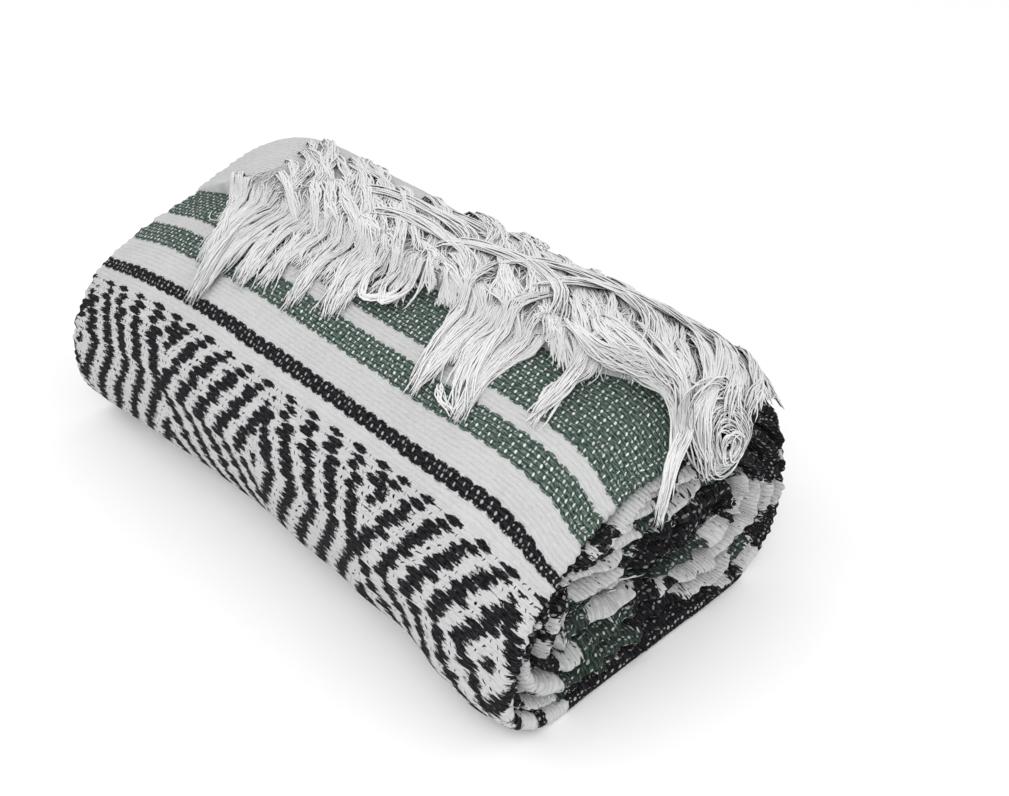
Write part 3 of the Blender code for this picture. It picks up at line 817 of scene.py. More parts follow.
# %% Build the outer turn
EDGE_ROUND = 5  # rows that carry the hem's thick edge down to the turn below
EDGE_RADIUS = 0.0042
PULL_FROM = 0.17  # the edge's waves fade out by this far from the roll's middle
SWELL = 0.0011
HEM_CALM, SWELL_CALM = 0.006, 0.020  # the ribs and the swell fade within this of the hem


def outer_columns():
    """For each column along the roll: its section, its place, its place on the flat cloth, and how
    far it lies below the face. A lip at each end goes half round a small circle, then back in."""
    straight = np.linspace(-LIP_X, LIP_X, int(2 * LIP_X / COLUMN) + 1)
    angle = np.linspace(0, np.pi, LIP_COLUMNS + 1)[1:]
    tail = np.array([0.5, 1.0])
    inset = np.concatenate([LIP_RADIUS * (1 - np.cos(angle)), 2 * LIP_RADIUS + 0 * tail])
    out = np.concatenate([LIP_RADIUS * np.sin(angle), -LIP_BACK * tail])
    run = np.concatenate([LIP_RADIUS * angle, LIP_RADIUS * np.pi + LIP_BACK * tail])
    section_x = np.concatenate([-LIP_X + 0 * out, straight, LIP_X + 0 * out])
    place_x = np.concatenate([-LIP_X - out[::-1], straight, LIP_X + out])
    flat_x = np.concatenate([-LIP_X - run[::-1], straight, LIP_X + run])
    return section_x, place_x, flat_x, np.concatenate([inset[::-1], 0 * straight, inset])


def hem_edge(section_x, place_x, flat_x, top):
    """The hem's thick edge, from the height of the cloth's last row: a quarter turn down, then
    straight to the turn below."""
    turn_down = np.linspace(0, np.pi / 2, EDGE_ROUND + 1)[1:, None]
    s = hem_s(section_x) + length_round(section_x) + EDGE_RADIUS * np.sin(turn_down)
    s = np.concatenate([s, s[-1:]])
    rise = top - EDGE_RADIUS * (1 - np.cos(turn_down))
    rise = np.concatenate([rise, 0 * rise[-1:] - 0.002])
    flat = np.stack(np.broadcast_arrays(flat_x, s), axis=-1)
    return on_roll(section_x, s, rise, place_x), flat


def make_outer_turn():
    """The cloth's outer face as rows along the weft and columns along the roll. A point's height is
    the climb of its turn, less its lip and its troughs, plus a slow swell and its rib."""
    section_x, place_x, flat_x, inset = outer_columns()
    s = outer_rows(section_x)
    past_hem = s - hem_s(section_x)
    near_hem = np.minimum(past_hem, length_round(section_x) - past_hem)
    flat_s = stripe_place(section_x, s)
    ribs = rib_height(flat_x[None, :], flat_s) * ease(near_hem / HEM_CALM)
    floor_share = ease((s - 0.195) / 0.02) * ease((0.372 - s) / 0.02)
    troughs = trough_depth(section_x, s, FOLDS) + trough_depth(section_x, s, CREASES)
    swell = SWELL * ripples(section_x + 0 * s, s, 0.085, 4) * ease(near_hem / SWELL_CALM)
    rise = climb(past_hem / length_round(section_x)) - inset - troughs
    rise = rise + (swell + ribs) * (1 - floor_share)
    pull = np.clip((np.abs(section_x) - PULL_FROM) / (LIP_X - PULL_FROM), 0, 1) ** 2
    wave = np.where(section_x > 0, edge_wave(1, s), edge_wave(-1, s)) * pull
    face = on_roll(section_x, s, rise, place_x + wave)
    face_flat = np.stack(np.broadcast_arrays(flat_x, flat_s), axis=-1)
    edge, edge_flat = hem_edge(section_x, place_x + wave[-1], flat_x, rise[-1])
    grid = (np.concatenate([face, edge]), np.concatenate([face_flat, edge_flat]))
    return mesh_from_grids("outer_cloth", [grid], WOVEN)


outer = make_outer_turn()
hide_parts("outer_turn")

# %% [markdown]
# ## The coil at each end
# At the ends one sees the edges of every turn: fold over fold, each a soft ridge with a deep seam
# beside it. The stripes cross these ridges, so the coil is a patchwork of short blocks of colour.
# The coil is a surface of ridges between seams that wind inward with the cloth. Its colours could
# be worked out from the winding, but a loosely rolled blanket slips and gathers, so a chart lists
# them turn by turn. Each corner keeps its shares of green and black in a second UV map.

# %% Colours of the coil
C, G, K = 0, 1, 2  # cotton, green and black
COIL_CHART = (
    # a row for each turn inward: where each stretch of colour ends, in mm round from the hem; a
    # row's last colour is the first one of the row before it, because the cloth runs on there
    ((24, K), (70, C), (86, K), (93, C), (110, K), (116, C), (134, K), (142, C), (158, K),
     (164, C), (178, K), (184, C), (204, K), (238, C), (392, K), (424, C), (448, K), (472, C),
     (484, K), (496, C), (700, K)),
    ((24, C), (38, K), (84, C), (104, K), (116, C), (134, K), (140, C), (168, K), (202, C),
     (211, K), (236, C), (312, G), (360, K), (404, C), (428, G), (444, K), (476, C), (700, K)),
    ((24, C), (52, G), (120, C), (140, K), (152, C), (160, K), (176, C), (212, K), (240, C),
     (304, G), (336, K), (500, C), (560, K), (700, C)),
    ((72, K), (124, C), (140, G), (216, C), (244, G), (292, C), (316, K), (392, G), (424, C),
     (440, K), (528, C), (574, G), (700, C)),
    ((80, K), (124, C), (144, G), (200, K), (240, G), (280, C), (400, G), (424, C), (700, K)),
)
CHART_MM = 700
CHART_BLUR = 9  # mm over which two colours meet, so that the material can roughen their edge


def chart_table():
    """Shares of green and of black, for each turn and each mm from the hem, blurred along it."""
    at = np.arange(CHART_MM)
    table = np.zeros((len(COIL_CHART), CHART_MM, 2))
    for turn_number, stretches in enumerate(COIL_CHART):
        ends, dyes = np.array(stretches).T
        dye = dyes[np.clip(np.searchsorted(ends, at), 0, len(ends) - 1)]
        table[turn_number] = np.stack([dye == G, dye == K], axis=-1)
    reach = CHART_BLUR // 2
    return sum(np.roll(table, k, axis=1) for k in range(-reach, reach + 1)) / CHART_BLUR


CHART = chart_table()
print("coil's mean shares of green and black:", CHART.mean(axis=(0, 1)).round(2))


def chart_dye(y, z, depth, from_hem):
    """Dye at places of an end's face: the chart is read a little aside of each place, by soft
    noise, so that its blocks get bent outlines and run over a seam here and there."""
    turn_number = np.floor(depth / HEM_STEP + 0.30 * ripples(y, z, 0.021, 43))
    mm = 1000 * from_hem + 4.5 * ripples(y, z, 0.022, 37) + 2.0 * ripples(y, z, 0.009, 39)
    turn_number = np.clip(turn_number, 0, len(COIL_CHART) - 1).astype(int)
    return CHART[turn_number, np.clip(mm, 0, CHART_MM - 1).astype(int)]


# %% The coil's material
ARC_FROM = ROLL_LENGTH / 2 + 0.012  # the ends' places across the flat cloth start past its edge


def coil_material():
    """The same yarns and warp dots as the weave has, with the colours of the chart, a green
    darkened by painted shade, and painted shadow in the seams.
    """
    material, surface = start_material("woven_edges")
    x, s = cloth_place()
    rows, v, lobe, dot, dot_light = weft_rows(x, s)
    green_share, black_share, _ = parts(Wire.node("ShaderNodeUVMap", {"uv_map": "dye"}))
    rough = (noise(vector(x * 0.30, s * 0.7), 1.0, 4.0) - 0.5) * 2.4 + (lobe - 0.5) * 0.3
    green = clamped((green_share - 0.5 + rough) / 0.12 + 0.5)
    black = clamped((black_share - 0.5 + rough) / 0.12 + 0.5)
    few = noise(vector(x * 0.05, s * 0.05, 19.0), 1.0) * 1.6 - 0.6
    from_seam = abs(x) - ARC_FROM * 1000.0
    # painted shadow: one deep in each seam, fading out up the sides of the ridges
    seam_shadow = clamped((10.6 - from_seam) / 10.0) + clamped((from_seam - 25.4) / 10.0)
    cotton, green_yarn, black_yarn, fibres = dyed_yarns(x, s, v, lobe)
    # painted shade: the end's green is mixed more than half way to black, because the end face lies
    # in shade
    green_yarn = mixed(0.55, green_yarn, BLACK)
    coloured = clamped(green + black)
    colour = mixed(black, mixed(green, cotton, green_yarn), black_yarn)
    colour = mixed(dot_light * coloured * clamped(few + green * 0.4), colour, WARP)
    # painted shadow: the seams are painted black
    colour = mixed(clamped(seam_shadow) * 0.8, colour, BLACK)
    height = row_crown(v) * (0.7 + 0.7 * lobe) + dot * coloured * 0.6 + fibres * 1.6
    cloth_surface(surface, colour, height)
    return material


EDGES = coil_material()
print("coil material:", len(EDGES.node_tree.nodes), "nodes")

# %% Seams of the coil
COIL_STEPS = 360
RIDGE_STEPS = 10
SPLIT = 0.0098  # a turn shows a wide ridge and a narrow one, and this is the width of the wide one
FIRST_SEAM = 0.0070  # the outer turn's own turned-in edge lies outside this
SEAM_DEPTH = 0.0125
PUFF = 0.0040  # how far a ridge stands out of the face
NARROW_TO = 0.005  # a ridge no wider than this is narrow: it puffs less and lies lower
NARROW_PUFF, NARROW_SINK = 0.3, 0.006
SEAM_BEND = 0.0023
DIP, MIDDLE_DIP = 0.0030, 0.006  # how unevenly the face lies, and how deep its middle is
GATHERS = ((0.0008, 0.01, 0.0065, 51), (0.0007, 0.012, 0.013, 71))  # height, place, length, seed
FACE_OUT = 0.2100
COIL_MIDDLE = 0.97  # share of the way in where the coil stops


def ridge_edges(deepest):
    """Insets of the seams, two to a turn, as far in as the middle of the coil."""
    turns = np.arange(1, int(deepest / HEM_STEP) + 2) * HEM_STEP
    return np.sort(np.concatenate([[FIRST_SEAM], turns, turns + SPLIT]))


def flat_along(share, turn_number, section_x):
    """Place along the blanket at a share of a turn: every turn inward is shorter by its depth."""
    lengths = length_round(section_x) - 2 * np.pi * HEM_STEP * np.arange(1, 9) * 0.93
    lengths = np.maximum(lengths, 0.04)
    before = np.concatenate([[0.0], np.cumsum(lengths)])
    own = length_round(section_x) if turn_number == 0 else lengths[turn_number - 1]
    return hem_s(section_x) + share * own - before[turn_number]


# %% Build the coil
def both_ways(y, z, length, seed):
    """Soft shifts of y and of z."""
    return np.stack([ripples(y, z, length, seed), ripples(y, z, length, seed + 1)], axis=-1)


def ridge(end, number, low, high, half, middle, rim):
    """Points, flat places and dye of the ridge between two seams, whose insets are low and high.
    Its face is a half ellipse of height. Soft noise in the plane of the end bends the seams and
    puffs, sinks or gathers each stretch."""
    section_x = end * LIP_X
    share = np.linspace(0, 1, COIL_STEPS + 1)[None, :]
    q = np.linspace(0, 1, RIDGE_STEPS + 1)[:, None]
    inset = low + (high - low) * q
    depth = np.minimum(inset - climb(share), half[1] * COIL_MIDDLE)
    flat = middle + (rim - middle) * (1 - depth[..., None] / half)
    y, z = flat[..., 0], flat[..., 1]
    shift = both_ways(y, z, 0.045, 31) + 0.5 * both_ways(y, z, 0.019, 41)
    flat = flat + SEAM_BEND * shift * ease((depth - 0.006) / 0.02)[..., None]

    round_face = np.sqrt(np.maximum(1 - (2 * q - 1) ** 2, 0))
    narrow = high - low <= NARROW_TO
    puff = (NARROW_PUFF if narrow else 1.0) * (1 + 0.55 * ripples(y, z, 0.024, 33 + end))
    sink = DIP * ripples(y, z, 0.055, 35 + end) - MIDDLE_DIP * ease(depth / 0.055)
    along = flat_along(share, int(low / HEM_STEP + 1e-6), section_x) + 0 * q
    gather = sum(
        tall * ripples(along, place * q + 0 * along, long, seed + number)
        for tall, place, long, seed in GATHERS
    )
    stand = FACE_OUT - SEAM_DEPTH * (1 - round_face) + PUFF * round_face * puff + sink
    stand = stand + gather * round_face - NARROW_SINK * narrow
    points = np.stack([end * stand + X_SHIFT, flat[..., 0], flat[..., 1]], axis=-1)

    profile = np.concatenate([q * (high - low), (SEAM_DEPTH + PUFF) * round_face], axis=1)
    steps = np.linalg.norm(np.diff(profile, axis=0, prepend=profile[:1]), axis=1)
    width = end * (ARC_FROM + np.cumsum(steps)[:, None])
    places = np.stack(np.broadcast_arrays(width, along), axis=-1)
    from_hem = share * length_round(section_x) + 0.004 * np.sin(2.4 * number)
    dye = chart_dye(y, z, inset + 0 * share, from_hem)
    return [grid[:, ::end] for grid in (points, places, dye)]


def coil_grids(end):
    """Ridges of one end, from the outer turn's rim inward. The far end's run the other way round,
    so that their faces point outwards too."""
    section_x = end * LIP_X
    half = np.array([section_value(section_x, 2), section_value(section_x, 3) / 2])
    middle = np.array([section_value(section_x, 1) + Y_SHIFT, half[1]])
    share = np.linspace(0, 1, COIL_STEPS + 1)[None, :]
    rim_s = hem_s(section_x) + share * length_round(section_x)
    rim = on_roll(section_x, rim_s, -trough_depth(section_x, rim_s, FOLDS))[..., 1:]
    edges = ridge_edges(half[1])
    return [
        ridge(end, k, low, high, half, middle, rim)
        for k, (low, high) in enumerate(zip(edges[:-1], edges[1:]))
    ]


coil = mesh_from_grids(
    "rolled_edges", coil_grids(1) + coil_grids(-1), EDGES, flip=True, maps=("weave", "dye")
)
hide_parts("rolled_core")

# %% [markdown]
# ## The fringe
# The warp ends are left loose beyond the hem. They leave it in locks, fall over the front, and
# have been shuffled into tufts that meet at their tips. Nothing here can be a stiff cone: each lock
# is a dozen or more thin yarns that keep their own places in it, drift apart and end unevenly.
# Hair particles could grow it, but here every tuft has its own place to fall to. A guide is a
# smooth path in the roll's own terms: along it, round it, and the height above the cloth. Yarns
# are set about their guide and turned into three-sided tubes, all as whole arrays.

# %% Guides
YARN_STEPS = 16
SHORTEST = 0.72  # the shortest yarn's share of its lock's length
YARN, LOOSE_YARN, LOOP_YARN = 0.00062, 0.0004, 0.0005  # radii


def ground(x, s):
    """Height of the cloth under a yarn: that of the outer turn's end behind the hem, and that of
    its start in front of it."""
    past = s - hem_s(x)
    share = 1 + np.minimum(past, 0) / length_round(x)
    behind = climb(share) - trough_depth(x, s + length_round(x), FOLDS)
    front = -trough_depth(x, s, FOLDS)
    return behind + (front - behind) * ease((past - 0.001) / 0.013)


def through(points, share):
    """A smooth path through points at shares of its length: a cubic between each two, whose slopes
    are the mean slopes of their neighbours."""
    gaps = np.linalg.norm(np.diff(points, axis=0), axis=1)
    at = np.concatenate([[0.0], np.cumsum(gaps)])
    slopes = np.gradient(points, at, axis=0)
    place = np.clip(share, 0, 1) * at[-1]
    i = np.clip(np.searchsorted(at, place, side="right") - 1, 0, len(at) - 2)
    width = (at[i + 1] - at[i])[..., None]
    return cubic((place[..., None] - at[i][..., None]) / width, width, points, slopes, i)


def lock(guide, count, width, height, seed, turns, fray=1.6, waist=0.55, from_hem=True):
    """Paths (count, steps, 3) in x, s and rise of the yarns of one lock. Each yarn keeps a place
    in an oval that narrows to a waist, opens again at the tip and turns slowly along the lock."""
    random = np.random.default_rng(seed)
    first = 0 if from_hem else random.uniform(0, 0.14, (count, 1))
    reach = random.uniform(SHORTEST, 1.0, (count, 1))
    share = first + (reach - first) * np.linspace(0, 1, YARN_STEPS)[None, :]
    guide = np.asarray(guide, float) / 1000.0
    path = through(guide, share)
    ahead = path - through(guide, share - 0.02)
    ahead[:, 0] = ahead[:, 1]
    ahead[..., 2] = 0
    ahead = unit(ahead)
    angle = random.uniform(0, 2 * np.pi, (count, 1)) + 2 * np.pi * turns * share
    radius = np.sqrt(random.uniform(0, 1, (count, 1)))
    opened = 1 - (1 - waist) * np.sin(np.pi * np.clip(share * 1.25, 0, 1))
    opened = opened + fray * ease((share - 0.7) / 0.4) * waist
    phase = random.uniform(0, 2 * np.pi, (4, count, 1))
    loose = np.sin(9 * share + phase[0]) + 0.6 * np.sin(19 * share + phase[1])
    loose = 0.0009 * ease(share * 3) * loose
    aside = width / 1000 * radius * np.cos(angle) * opened + loose
    lift = height / 1000 * (1 + radius * np.sin(angle)) * opened * 0.6
    lift = lift + 0.0005 * (1 + np.sin(11 * share + phase[2])) * ease(share * 4)
    x = path[..., 0] + ahead[..., 1] * aside
    s = path[..., 1] - ahead[..., 0] * aside
    rise = ground(x, s) + path[..., 2] + lift + YARN
    if from_hem:
        inside = HEM_STEP * random.uniform(0.2, 0.8, (count, 1))
        rise = inside + (rise - inside) * ease(share * 5)
    else:
        rise = rise - (path[..., 2] + lift + 0.003) * (1 - ease((share - first) / 0.12))
    return np.stack([x, s, rise], axis=-1)


# %% Yarns
ROLL_MIDDLE_Z = 0.065
TAPER = (0, 0.09, 0.75, 0.97, 1), (0.35, 1, 1, 0.6, 0.05)  # shares of the way, and thickness there


def yarn_grids(paths, thickness=YARN):
    """Tubes of three sides about paths of x, s and rise: a ring stands at each step, square to the
    path, and narrows to the tip and a little to the start."""
    random = np.random.default_rng(5)
    points = on_roll(paths[..., 0], paths[..., 1], paths[..., 2])
    forward = unit(np.gradient(points, axis=1))
    away = points - np.array([X_SHIFT, Y_SHIFT, ROLL_MIDDLE_Z])
    away[..., 0] = 0.02
    side = unit(np.cross(forward, away))
    top = np.cross(side, forward)
    taper = np.interp(np.linspace(0, 1, paths.shape[1]), *TAPER)
    radius = thickness * taper[None, :] * random.uniform(0.8, 1.2, (len(paths), 1))
    angle = np.arange(3) * 2 * np.pi / 3
    ring = side[:, :, None] * np.cos(angle)[:, None] + top[:, :, None] * np.sin(angle)[:, None]
    return points[:, :, None] + ring * radius[..., None, None]


def yarn_mesh(name, bundles, material):
    """One object from bundles of rings (yarns, steps, 3 corners, 3): quads join each ring to the
    next."""
    all_points, all_quads, start = [], [], 0
    for rings in bundles:
        index = start + np.arange(rings[..., 0].size).reshape(rings.shape[:3])
        after = np.roll(index, -1, axis=2)
        quads = np.stack([index[:, :-1], after[:, :-1], after[:, 1:], index[:, 1:]], axis=-1)
        all_points.append(rings.reshape(-1, 3))
        all_quads.append(quads.reshape(-1, 4))
        start += index.size
    return link_mesh(name, np.concatenate(all_points), np.concatenate(all_quads), material)


# %% [markdown]
# ## The fringe's finish
# Loose cotton yarn is fluffy and matt, and thousands of yarns scatter the light among themselves.
# Volume or hair shaders could show that, at the cost of a slow render. A cheaper way is to bend
# each yarn's own direction towards that of the roll under it, which evens out its shadow side.

# %% Fringe material
YARN_PALE = (0.86, 0.86, 0.86, 1.0)
YARN_SHADE = (0.82, 0.82, 0.83, 1.0)
OWN_SHADING = 0.65  # how much a yarn's own direction counts beside the roll's
END_FROM, END_OVER = 0.198, 0.016  # from here the roll's direction turns to that of its end


def fringe_material():
    """Undyed cotton yarn: pale, without gloss, a little greyer in patches. Its loose fibres spread
    the light, so its shading is partly its own and partly that of the roll under it."""
    material, surface = start_material("cotton_yarn")
    place = Wire(Wire.node("ShaderNodeTexCoord").socket.node.outputs["Object"])
    patches = noise(place, 60.0, 3.0)
    colour = mixed(clamped((patches - 0.4) * 2.0), YARN_PALE, YARN_SHADE)
    connect(colour, surface.inputs["Base Color"])
    x, y, z = parts(place)
    over_end = clamped((x - END_FROM) / END_OVER) * 0.08
    outward = vector_math("NORMALIZE", vector(over_end, y, z - ROLL_MIDDLE_Z))
    own = Wire.node("ShaderNodeNewGeometry", output="Normal")
    own = vector_math("SCALE", own, Scale=OWN_SHADING)
    both = vector_math("NORMALIZE", vector_math("ADD", outward, own))
    connect(both, surface.inputs["Normal"])
    surface.inputs["Roughness"].default_value = 0.95
    surface.inputs["Specular IOR Level"].default_value = 0.1
    return material


COTTON_YARN = fringe_material()
print("fringe material:", len(COTTON_YARN.node_tree.nodes), "nodes")

# %% [markdown]
# ## Tufts and loose locks
# The fringe has two layers: tufts that leave the hem and fall to one tip each, and locks that lie
# over the ridge behind it. Random locks alone would give an even mat. So the tufts that show have
# a row each in a table, the most striking locks are laid one by one, and chance fills in between.

# %% Tufts along the hem
TUFTS = np.array([
    # roots from and to, then the tip's x and s, bow towards the far end, spread at the tip
    (-170, -150, -146, 20, 2, 4),
    (-152, -128, -121, 52, 4, 5),
    (-130, -112, -116, 44, 8, 5),
    (-114, -98, -102, 80, 14, 3),
    (-106, -92, -98, 64, 12, 5),
    (-94, -80, -80, 54, 8, 4),
    (-82, -64, -66, 50, 6, 4),
    (-66, -52, -54, 30, 5, 4),
    (-54, -40, -39, 49, 5, 3),
    (-42, -26, -28, 28, 4, 4),
    (-28, -10, -9, 44, 6, 4),
    (-12, 4, 4, 14, 5, 4),
    (4, 20, 16, 10, 5, 4),
    (20, 36, 30, -9, 3, 3),
    (36, 54, 50, -6, 4, 3),
    (52, 68, 70, 28, 5, 4),
    (60, 82, 78, 49, 5, 3),
    (80, 96, 88, 34, 8, 4),
    (92, 118, 113, 47, 12, 3),
    (114, 134, 122, -16, 3, 3),
    (134, 152, 147, 27, 5, 2),
    (152, 172, 163, -33, 1, 1.5),
    (170, 200, 184, -37, 1, 1.5),
], float)
LOCK_SPACING = 3.0
YARNS = 15
print(len(TUFTS), "tufts along the hem")


def tuft_locks(tufts, seed):
    """Locks of the tufts: roots stand evenly along the hem, and each lock bows and then leans in
    to its tuft's tip."""
    random = np.random.default_rng(seed)
    found = []
    for root_from, root_to, tip_x, tip_s, bow, spread in tufts:
        for root in np.arange(root_from + LOCK_SPACING / 2, root_to, LOCK_SPACING):
            start_s = hem_s(root / 1000) * 1000 - 4
            end_x = tip_x + random.normal(0, spread)
            end_s = tip_s + random.normal(0, spread * 1.3) - 6 * random.random()
            lift = random.uniform(0.0, 4.0)
            bend = bow * random.uniform(0.5, 1.3)
            guide = [(root, start_s, 0.5)]
            for t in (0.28, 0.6):
                guide.append((
                    root + (end_x - root) * t - bend * np.sin(np.pi * t) + random.normal(0, 1.5),
                    start_s + (end_s - start_s) * t,
                    lift * (1 - t * t),
                ))
            guide.append((end_x, end_s, 0.0))
            seed_here = int(random.integers(1 << 30))
            found.append(lock(guide, YARNS, 2.6, 1.5, seed_here, random.uniform(-0.5, 0.5)))
    return found


# %% Locks that chance lays
FRONT_LIMIT = np.array([
    # x, and the place s that loose locks don't pass there, so that the green shows through in gaps
    (-175, 30), (-60, 30), (-15, 22), (12, -6), (20, -17), (56, -17), (64, 14), (104, 14),
    (113, -20), (136, -20), (142, 4), (150, -4), (157, -36), (205, -38),
])


MOST_X = 212.0  # locks that chance lays are shorter the nearer they start to this place


def swept_locks(count, x_from, x_to, seed):
    """Locks that lie over the ridge behind the hem: each starts along the roll, then turns to the
    front, and is shortened where it would pass the limit. Starts run under their neighbours."""
    random = np.random.default_rng(seed)
    found = []
    for _ in range(count):
        x = random.uniform(x_from, x_to)
        s = hem_s(x / 1000) * 1000 - random.uniform(4, 72)
        length = min(random.uniform(46, 92), (MOST_X - x) * 1.2)
        turned = random.normal(20, 8) + np.array([0, 8, 20, 38]) * random.uniform(0.5, 1.4)
        turned = np.radians(turned)
        steps = length / 4 * np.stack([np.cos(turned), np.sin(turned)], axis=-1)
        places = np.array([x, s]) + np.concatenate([[[0, 0]], np.cumsum(steps, axis=0)])
        room = np.interp(places[-1, 0], *FRONT_LIMIT.T) - s
        kept = np.clip(room / max(places[-1, 1] - s, 1.0), 0.3, 1)
        places = places[0] + (places - places[0]) * kept
        top = random.uniform(0.5, 4.0)
        guide = np.column_stack([places, top * np.array([0.3, 0.9, 1.0, 0.7, 0.2])])
        half_width = random.uniform(2.4, 4.6)
        seed_here = int(random.integers(1 << 30))
        turns = random.uniform(-0.4, 0.4)
        found.append(lock(guide, 16, half_width, 1.2, seed_here, turns, 0.8, 0.8, from_hem=False))
    return found


# %% Loose yarns
def tangle(count, x_from, x_to, behind, ahead, seed):
    """Loose yarns that wander over the locks: short smooth curves, mostly forward. Those that would
    pass the limit are left out."""
    random = np.random.default_rng(seed)
    share = np.linspace(0, 1, YARN_STEPS)[None, :]
    x = random.uniform(x_from, x_to, (count, 1)) / 1000
    s = hem_s(x) + random.uniform(behind, ahead, (count, 1)) / 1000
    heading = random.normal(1.2, 0.45, (count, 1)) + random.normal(0, 0.9, (count, 1)) * share
    sway = random.normal(0, 0.35, (count, 1))
    heading = heading + sway * np.sin(7 * share + random.uniform(0, 6, (count, 1)))
    step = random.uniform(0.016, 0.036, (count, 1)) / YARN_STEPS
    x = x + np.cumsum(np.cos(heading), axis=1) * step
    s = s + np.cumsum(np.sin(heading), axis=1) * step
    height = random.uniform(0.001, 0.0045, (count, 1)) * (0.35 + 0.65 * np.sin(np.pi * share))
    inside = (s * 1000 < np.interp(x * 1000, *FRONT_LIMIT.T) + 4).all(axis=1)
    return np.stack([x, s, ground(x, s) + height], axis=-1)[inside]


# %% Long locks laid one by one
LONG_LOCKS = (
    # x, s and height of each guide's points in mm; yarns, half width, half height, turns
    (((-150, -14, 2), (-146, 8, 3), (-128, 34, 2), (-118, 54, 0)), 16, 3.4, 1.6, -0.4),
    (((-112, -26, 2), (-124, 6, 4), (-114, 44, 3), (-101, 82, 0)), 24, 3.6, 1.8, 0.4),
    (((-84, -24, 2), (-92, 4, 4), (-84, 30, 2), (-79, 55, 0)), 16, 3.2, 1.6, 0.4),
    (((-60, -26, 2), (-52, 0, 4), (-46, 26, 2), (-37, 51, 0)), 14, 2.8, 1.6, -0.5),
    (((-30, -28, 2), (-34, -2, 4), (-22, 22, 2), (-6, 46, 0)), 14, 2.8, 1.6, 0.5),
    (((-10, -26, 2), (-12, 2, 4), (0, 17, 3), (12, 8, 3), (10, -12, 2)), 10, 2.6, 1.2, 0.5),
    (((2, -26, 2), (4, 4, 4), (13, 14, 3), (19, 0, 3), (15, -18, 2)), 8, 2.2, 1.2, 0.5),
    (((18, -26, 3), (24, -8, 3), (26, 6, 1), (20, 14, 0)), 3, 1.0, 0.8, 0.2),
    (((54, -52, 2), (58, -18, 5), (66, 16, 3), (78, 50, 0)), 24, 4.0, 2.2, 0.5),
    (((60, -40, 2), (56, -14, 4), (62, 8, 2), (72, 30, 0)), 14, 3.0, 1.8, -0.5),
    (((104, -52, 2), (92, -12, 5), (98, 18, 3), (113, 48, 0)), 28, 4.2, 2.4, -0.6),
    (((112, -40, 3), (106, -10, 4), (106, 16, 2), (112, 44, 0)), 12, 2.8, 1.6, 0.4),
    (((84, 34, 0), (94, 42, 2), (113, 48, 0)), 8, 2.0, 1.2, 0.3),
    (((146, -58, 2), (142, -16, 4), (148, 6, 3), (148, 28, 0)), 28, 4.2, 2.4, 0.7),
    (((-90, -30, 2), (-60, -46, 3), (-20, -52, 3), (20, -48, 3),
      (46, -30, 2)), 22, 5.5, 2.0, 0.4),
    (((-60, -22, 3), (-30, -36, 4), (10, -38, 4), (44, -30, 3), (60, -8, 2)), 22, 4.5, 2.0, 0.6),
    (((-40, -62, 0), (0, -66, 1), (40, -66, 1), (80, -58, 2), (104, -36, 2)), 24, 6.0, 1.4, 0.4),
    (((0, -26, 3), (36, -44, 4), (76, -50, 4), (104, -42, 4), (120, -18, 2)), 24, 4.5, 2.2, 0.5),
    (((20, -72, 0), (62, -74, 0), (104, -72, 1), (140, -62, 3),
      (154, -44, 2)), 26, 6.0, 1.4, 0.4),
    (((40, -30, 3), (78, -58, 4), (116, -66, 5), (152, -58, 5),
      (172, -36, 3)), 26, 5.0, 2.4, 0.6),
    (((76, -26, 3), (104, -56, 5), (146, -74, 5), (180, -78, 4),
      (203, -84, 1)), 24, 3.6, 2.6, 1.8),
    (((70, -82, 0), (110, -86, 0), (152, -84, 1), (186, -76, 2),
      (206, -62, 1)), 26, 5.5, 1.6, 0.5),
    (((158, -92, 4), (184, -76, 6), (202, -52, 6), (208, -26, 5), (213, -8, 2), (219, 6, -4),
      (222, 14, -12), (223, 22, -17)), 26, 2.2, 2.0, 0.5),
    (((132, -58, 3), (164, -50, 5), (188, -42, 6), (203, -28, 5), (209, -14, 3), (215, 0, 0),
      (220, 12, -8), (223, 20, -15)), 20, 2.2, 1.8, 0.3),
    (((146, -34, 3), (166, -32, 4), (186, -32, 5), (199, -26, 4), (207, -14, 3), (213, -2, 1),
      (219, 10, -6), (222, 20, -14)), 14, 1.8, 1.6, 0.2),
    (((120, -44, 3), (148, -42, 4), (174, -38, 5), (194, -33, 5),
      (204, -22, 4)), 26, 5.0, 2.0, 0.2),
    (((112, -34, 3), (130, -26, 5), (148, -25, 6), (166, -33, 5), (184, -38, 3),
      (198, -30, 2)), 24, 3.2, 2.0, 0.3),
    (((124, -46, 3), (141, -35, 5), (157, -33, 6), (174, -39, 4),
      (190, -38, 3)), 22, 3.2, 1.8, 0.4),
    (((150, -76, 3), (182, -66, 5), (201, -50, 6), (210, -34, 4), (217, -26, -4), (220, -24, -16),
      (220, -26, -26)), 26, 3.8, 2.4, 0.5),
    (((168, -84, 3), (190, -76, 5), (205, -62, 6), (214, -50, 4),
      (220, -44, -6)), 26, 4.6, 2.4, 0.6),
    (((172, -96, 3), (192, -92, 5), (205, -82, 5), (213, -70, 4), (219, -62, -4),
      (221, -58, -12)), 22, 4.0, 2.2, 0.8),
    (((120, -94, 0), (156, -96, 1), (188, -92, 2), (206, -84, 1),
      (212, -78, 0)), 20, 4.0, 1.4, 0.8),
)
print(len(LONG_LOCKS), "long locks")


def long_locks(low, high, seed):
    """The listed locks whose guides start between low and high."""
    found = []
    for k, (guide, count, width, height, turns) in enumerate(LONG_LOCKS):
        if low <= guide[0][0] < high:
            found.append(
                lock(guide, count, width, height, seed + k, turns, 0.5, 0.8, from_hem=False)
            )
    return found


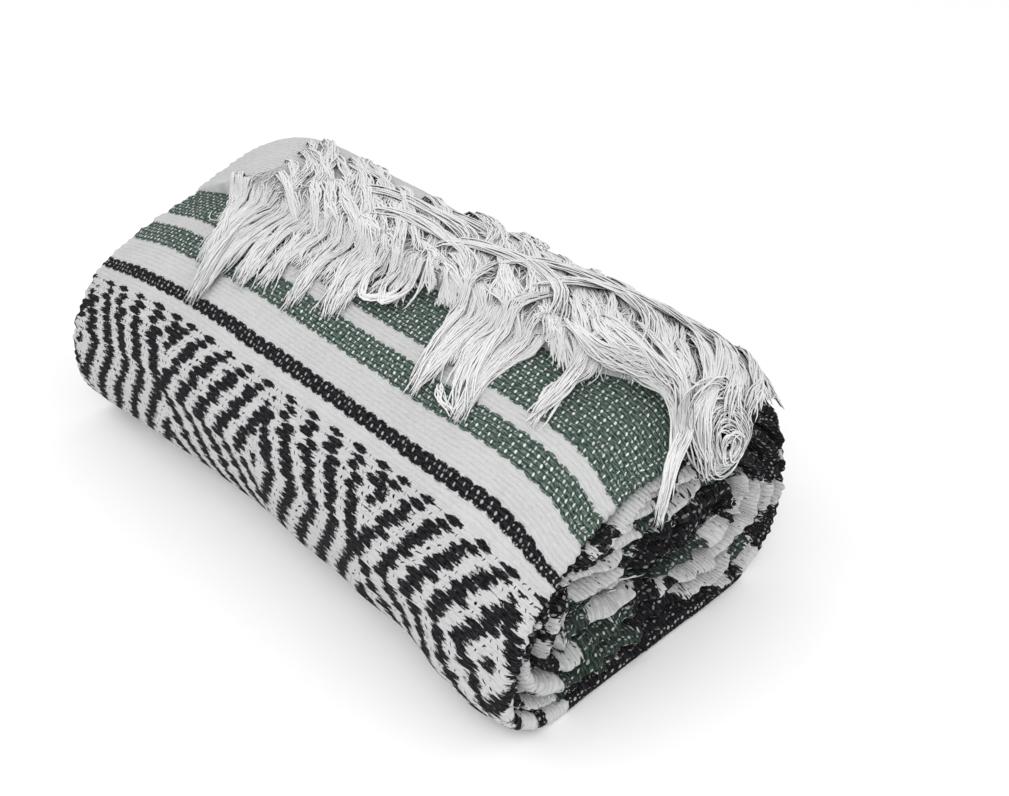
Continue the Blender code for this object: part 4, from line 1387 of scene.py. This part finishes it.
# %% Loops over the near end
def rosette(seed):
    """Loops of yarn hanging over the near edge: arcs of rings of every size that nearly share a
    middle, and the smaller ones stand further out."""
    random = np.random.default_rng(seed)
    count = 90
    size = np.sqrt(random.uniform(0.02, 1, (count, 1)))
    turned = random.uniform(0.45, 1.1, (count, 1)) * np.linspace(0, 1, YARN_STEPS)[None, :]
    angle = random.uniform(0, 2 * np.pi, (count, 1)) + turned * 2 * np.pi
    size = size * (1 + 0.12 * np.sin(angle + random.uniform(0, 6, (count, 1))))
    x = 0.2120 + 0.009 * (1 - size**2) + random.uniform(0, 0.005, (count, 1)) + 0 * angle
    s = -0.037 - 0.008 * size + 0.020 * size * np.cos(angle) + random.normal(0, 0.0022, (count, 1))
    rise = -0.003 + 0.004 * size + 0.021 * size * np.sin(angle)
    rise = rise + random.normal(0, 0.0022, (count, 1))
    x = x - 0.012 * np.clip(rise / 0.02, 0, 1)
    return np.stack([x, s, rise], axis=-1)


# %% Build the fringe
def fringe_piece(name, locks, *loose):
    """One piece of fringe, from the paths of its locks and pairs of loose paths and thickness."""
    bundles = [yarn_grids(np.concatenate(locks))]
    bundles += [yarn_grids(paths, thickness) for paths, thickness in loose]
    return yarn_mesh(name, bundles, COTTON_YARN)


far = fringe_piece(
    "fringe_far_yarns",
    tuft_locks(TUFTS[:8], 61) + long_locks(-200, -60, 70) + swept_locks(34, -165, -60, 71),
    (tangle(240, -152, -50, -20, 36, 62), LOOSE_YARN),
)
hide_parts("fringe_far", "fringe_far_middle")
middle_fringe = fringe_piece(
    "fringe_middle_yarns",
    tuft_locks(TUFTS[8:16], 63) + long_locks(-60, 85, 80) + swept_locks(52, -62, 80, 72),
    (tangle(240, -50, 80, -40, 8, 64), LOOSE_YARN),
)
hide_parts("fringe_middle", "fringe_near_middle")
near = fringe_piece(
    "fringe_near_yarns",
    tuft_locks(TUFTS[16:], 65) + long_locks(85, 220, 90) + swept_locks(46, 78, 195, 73),
    (tangle(140, 82, 150, -45, -2, 66), LOOSE_YARN),
    (tangle(90, 150, 198, -60, -22, 68), LOOSE_YARN),
    (rosette(67), LOOP_YARN),
)
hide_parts("fringe_near", "fringe_end_tuft")
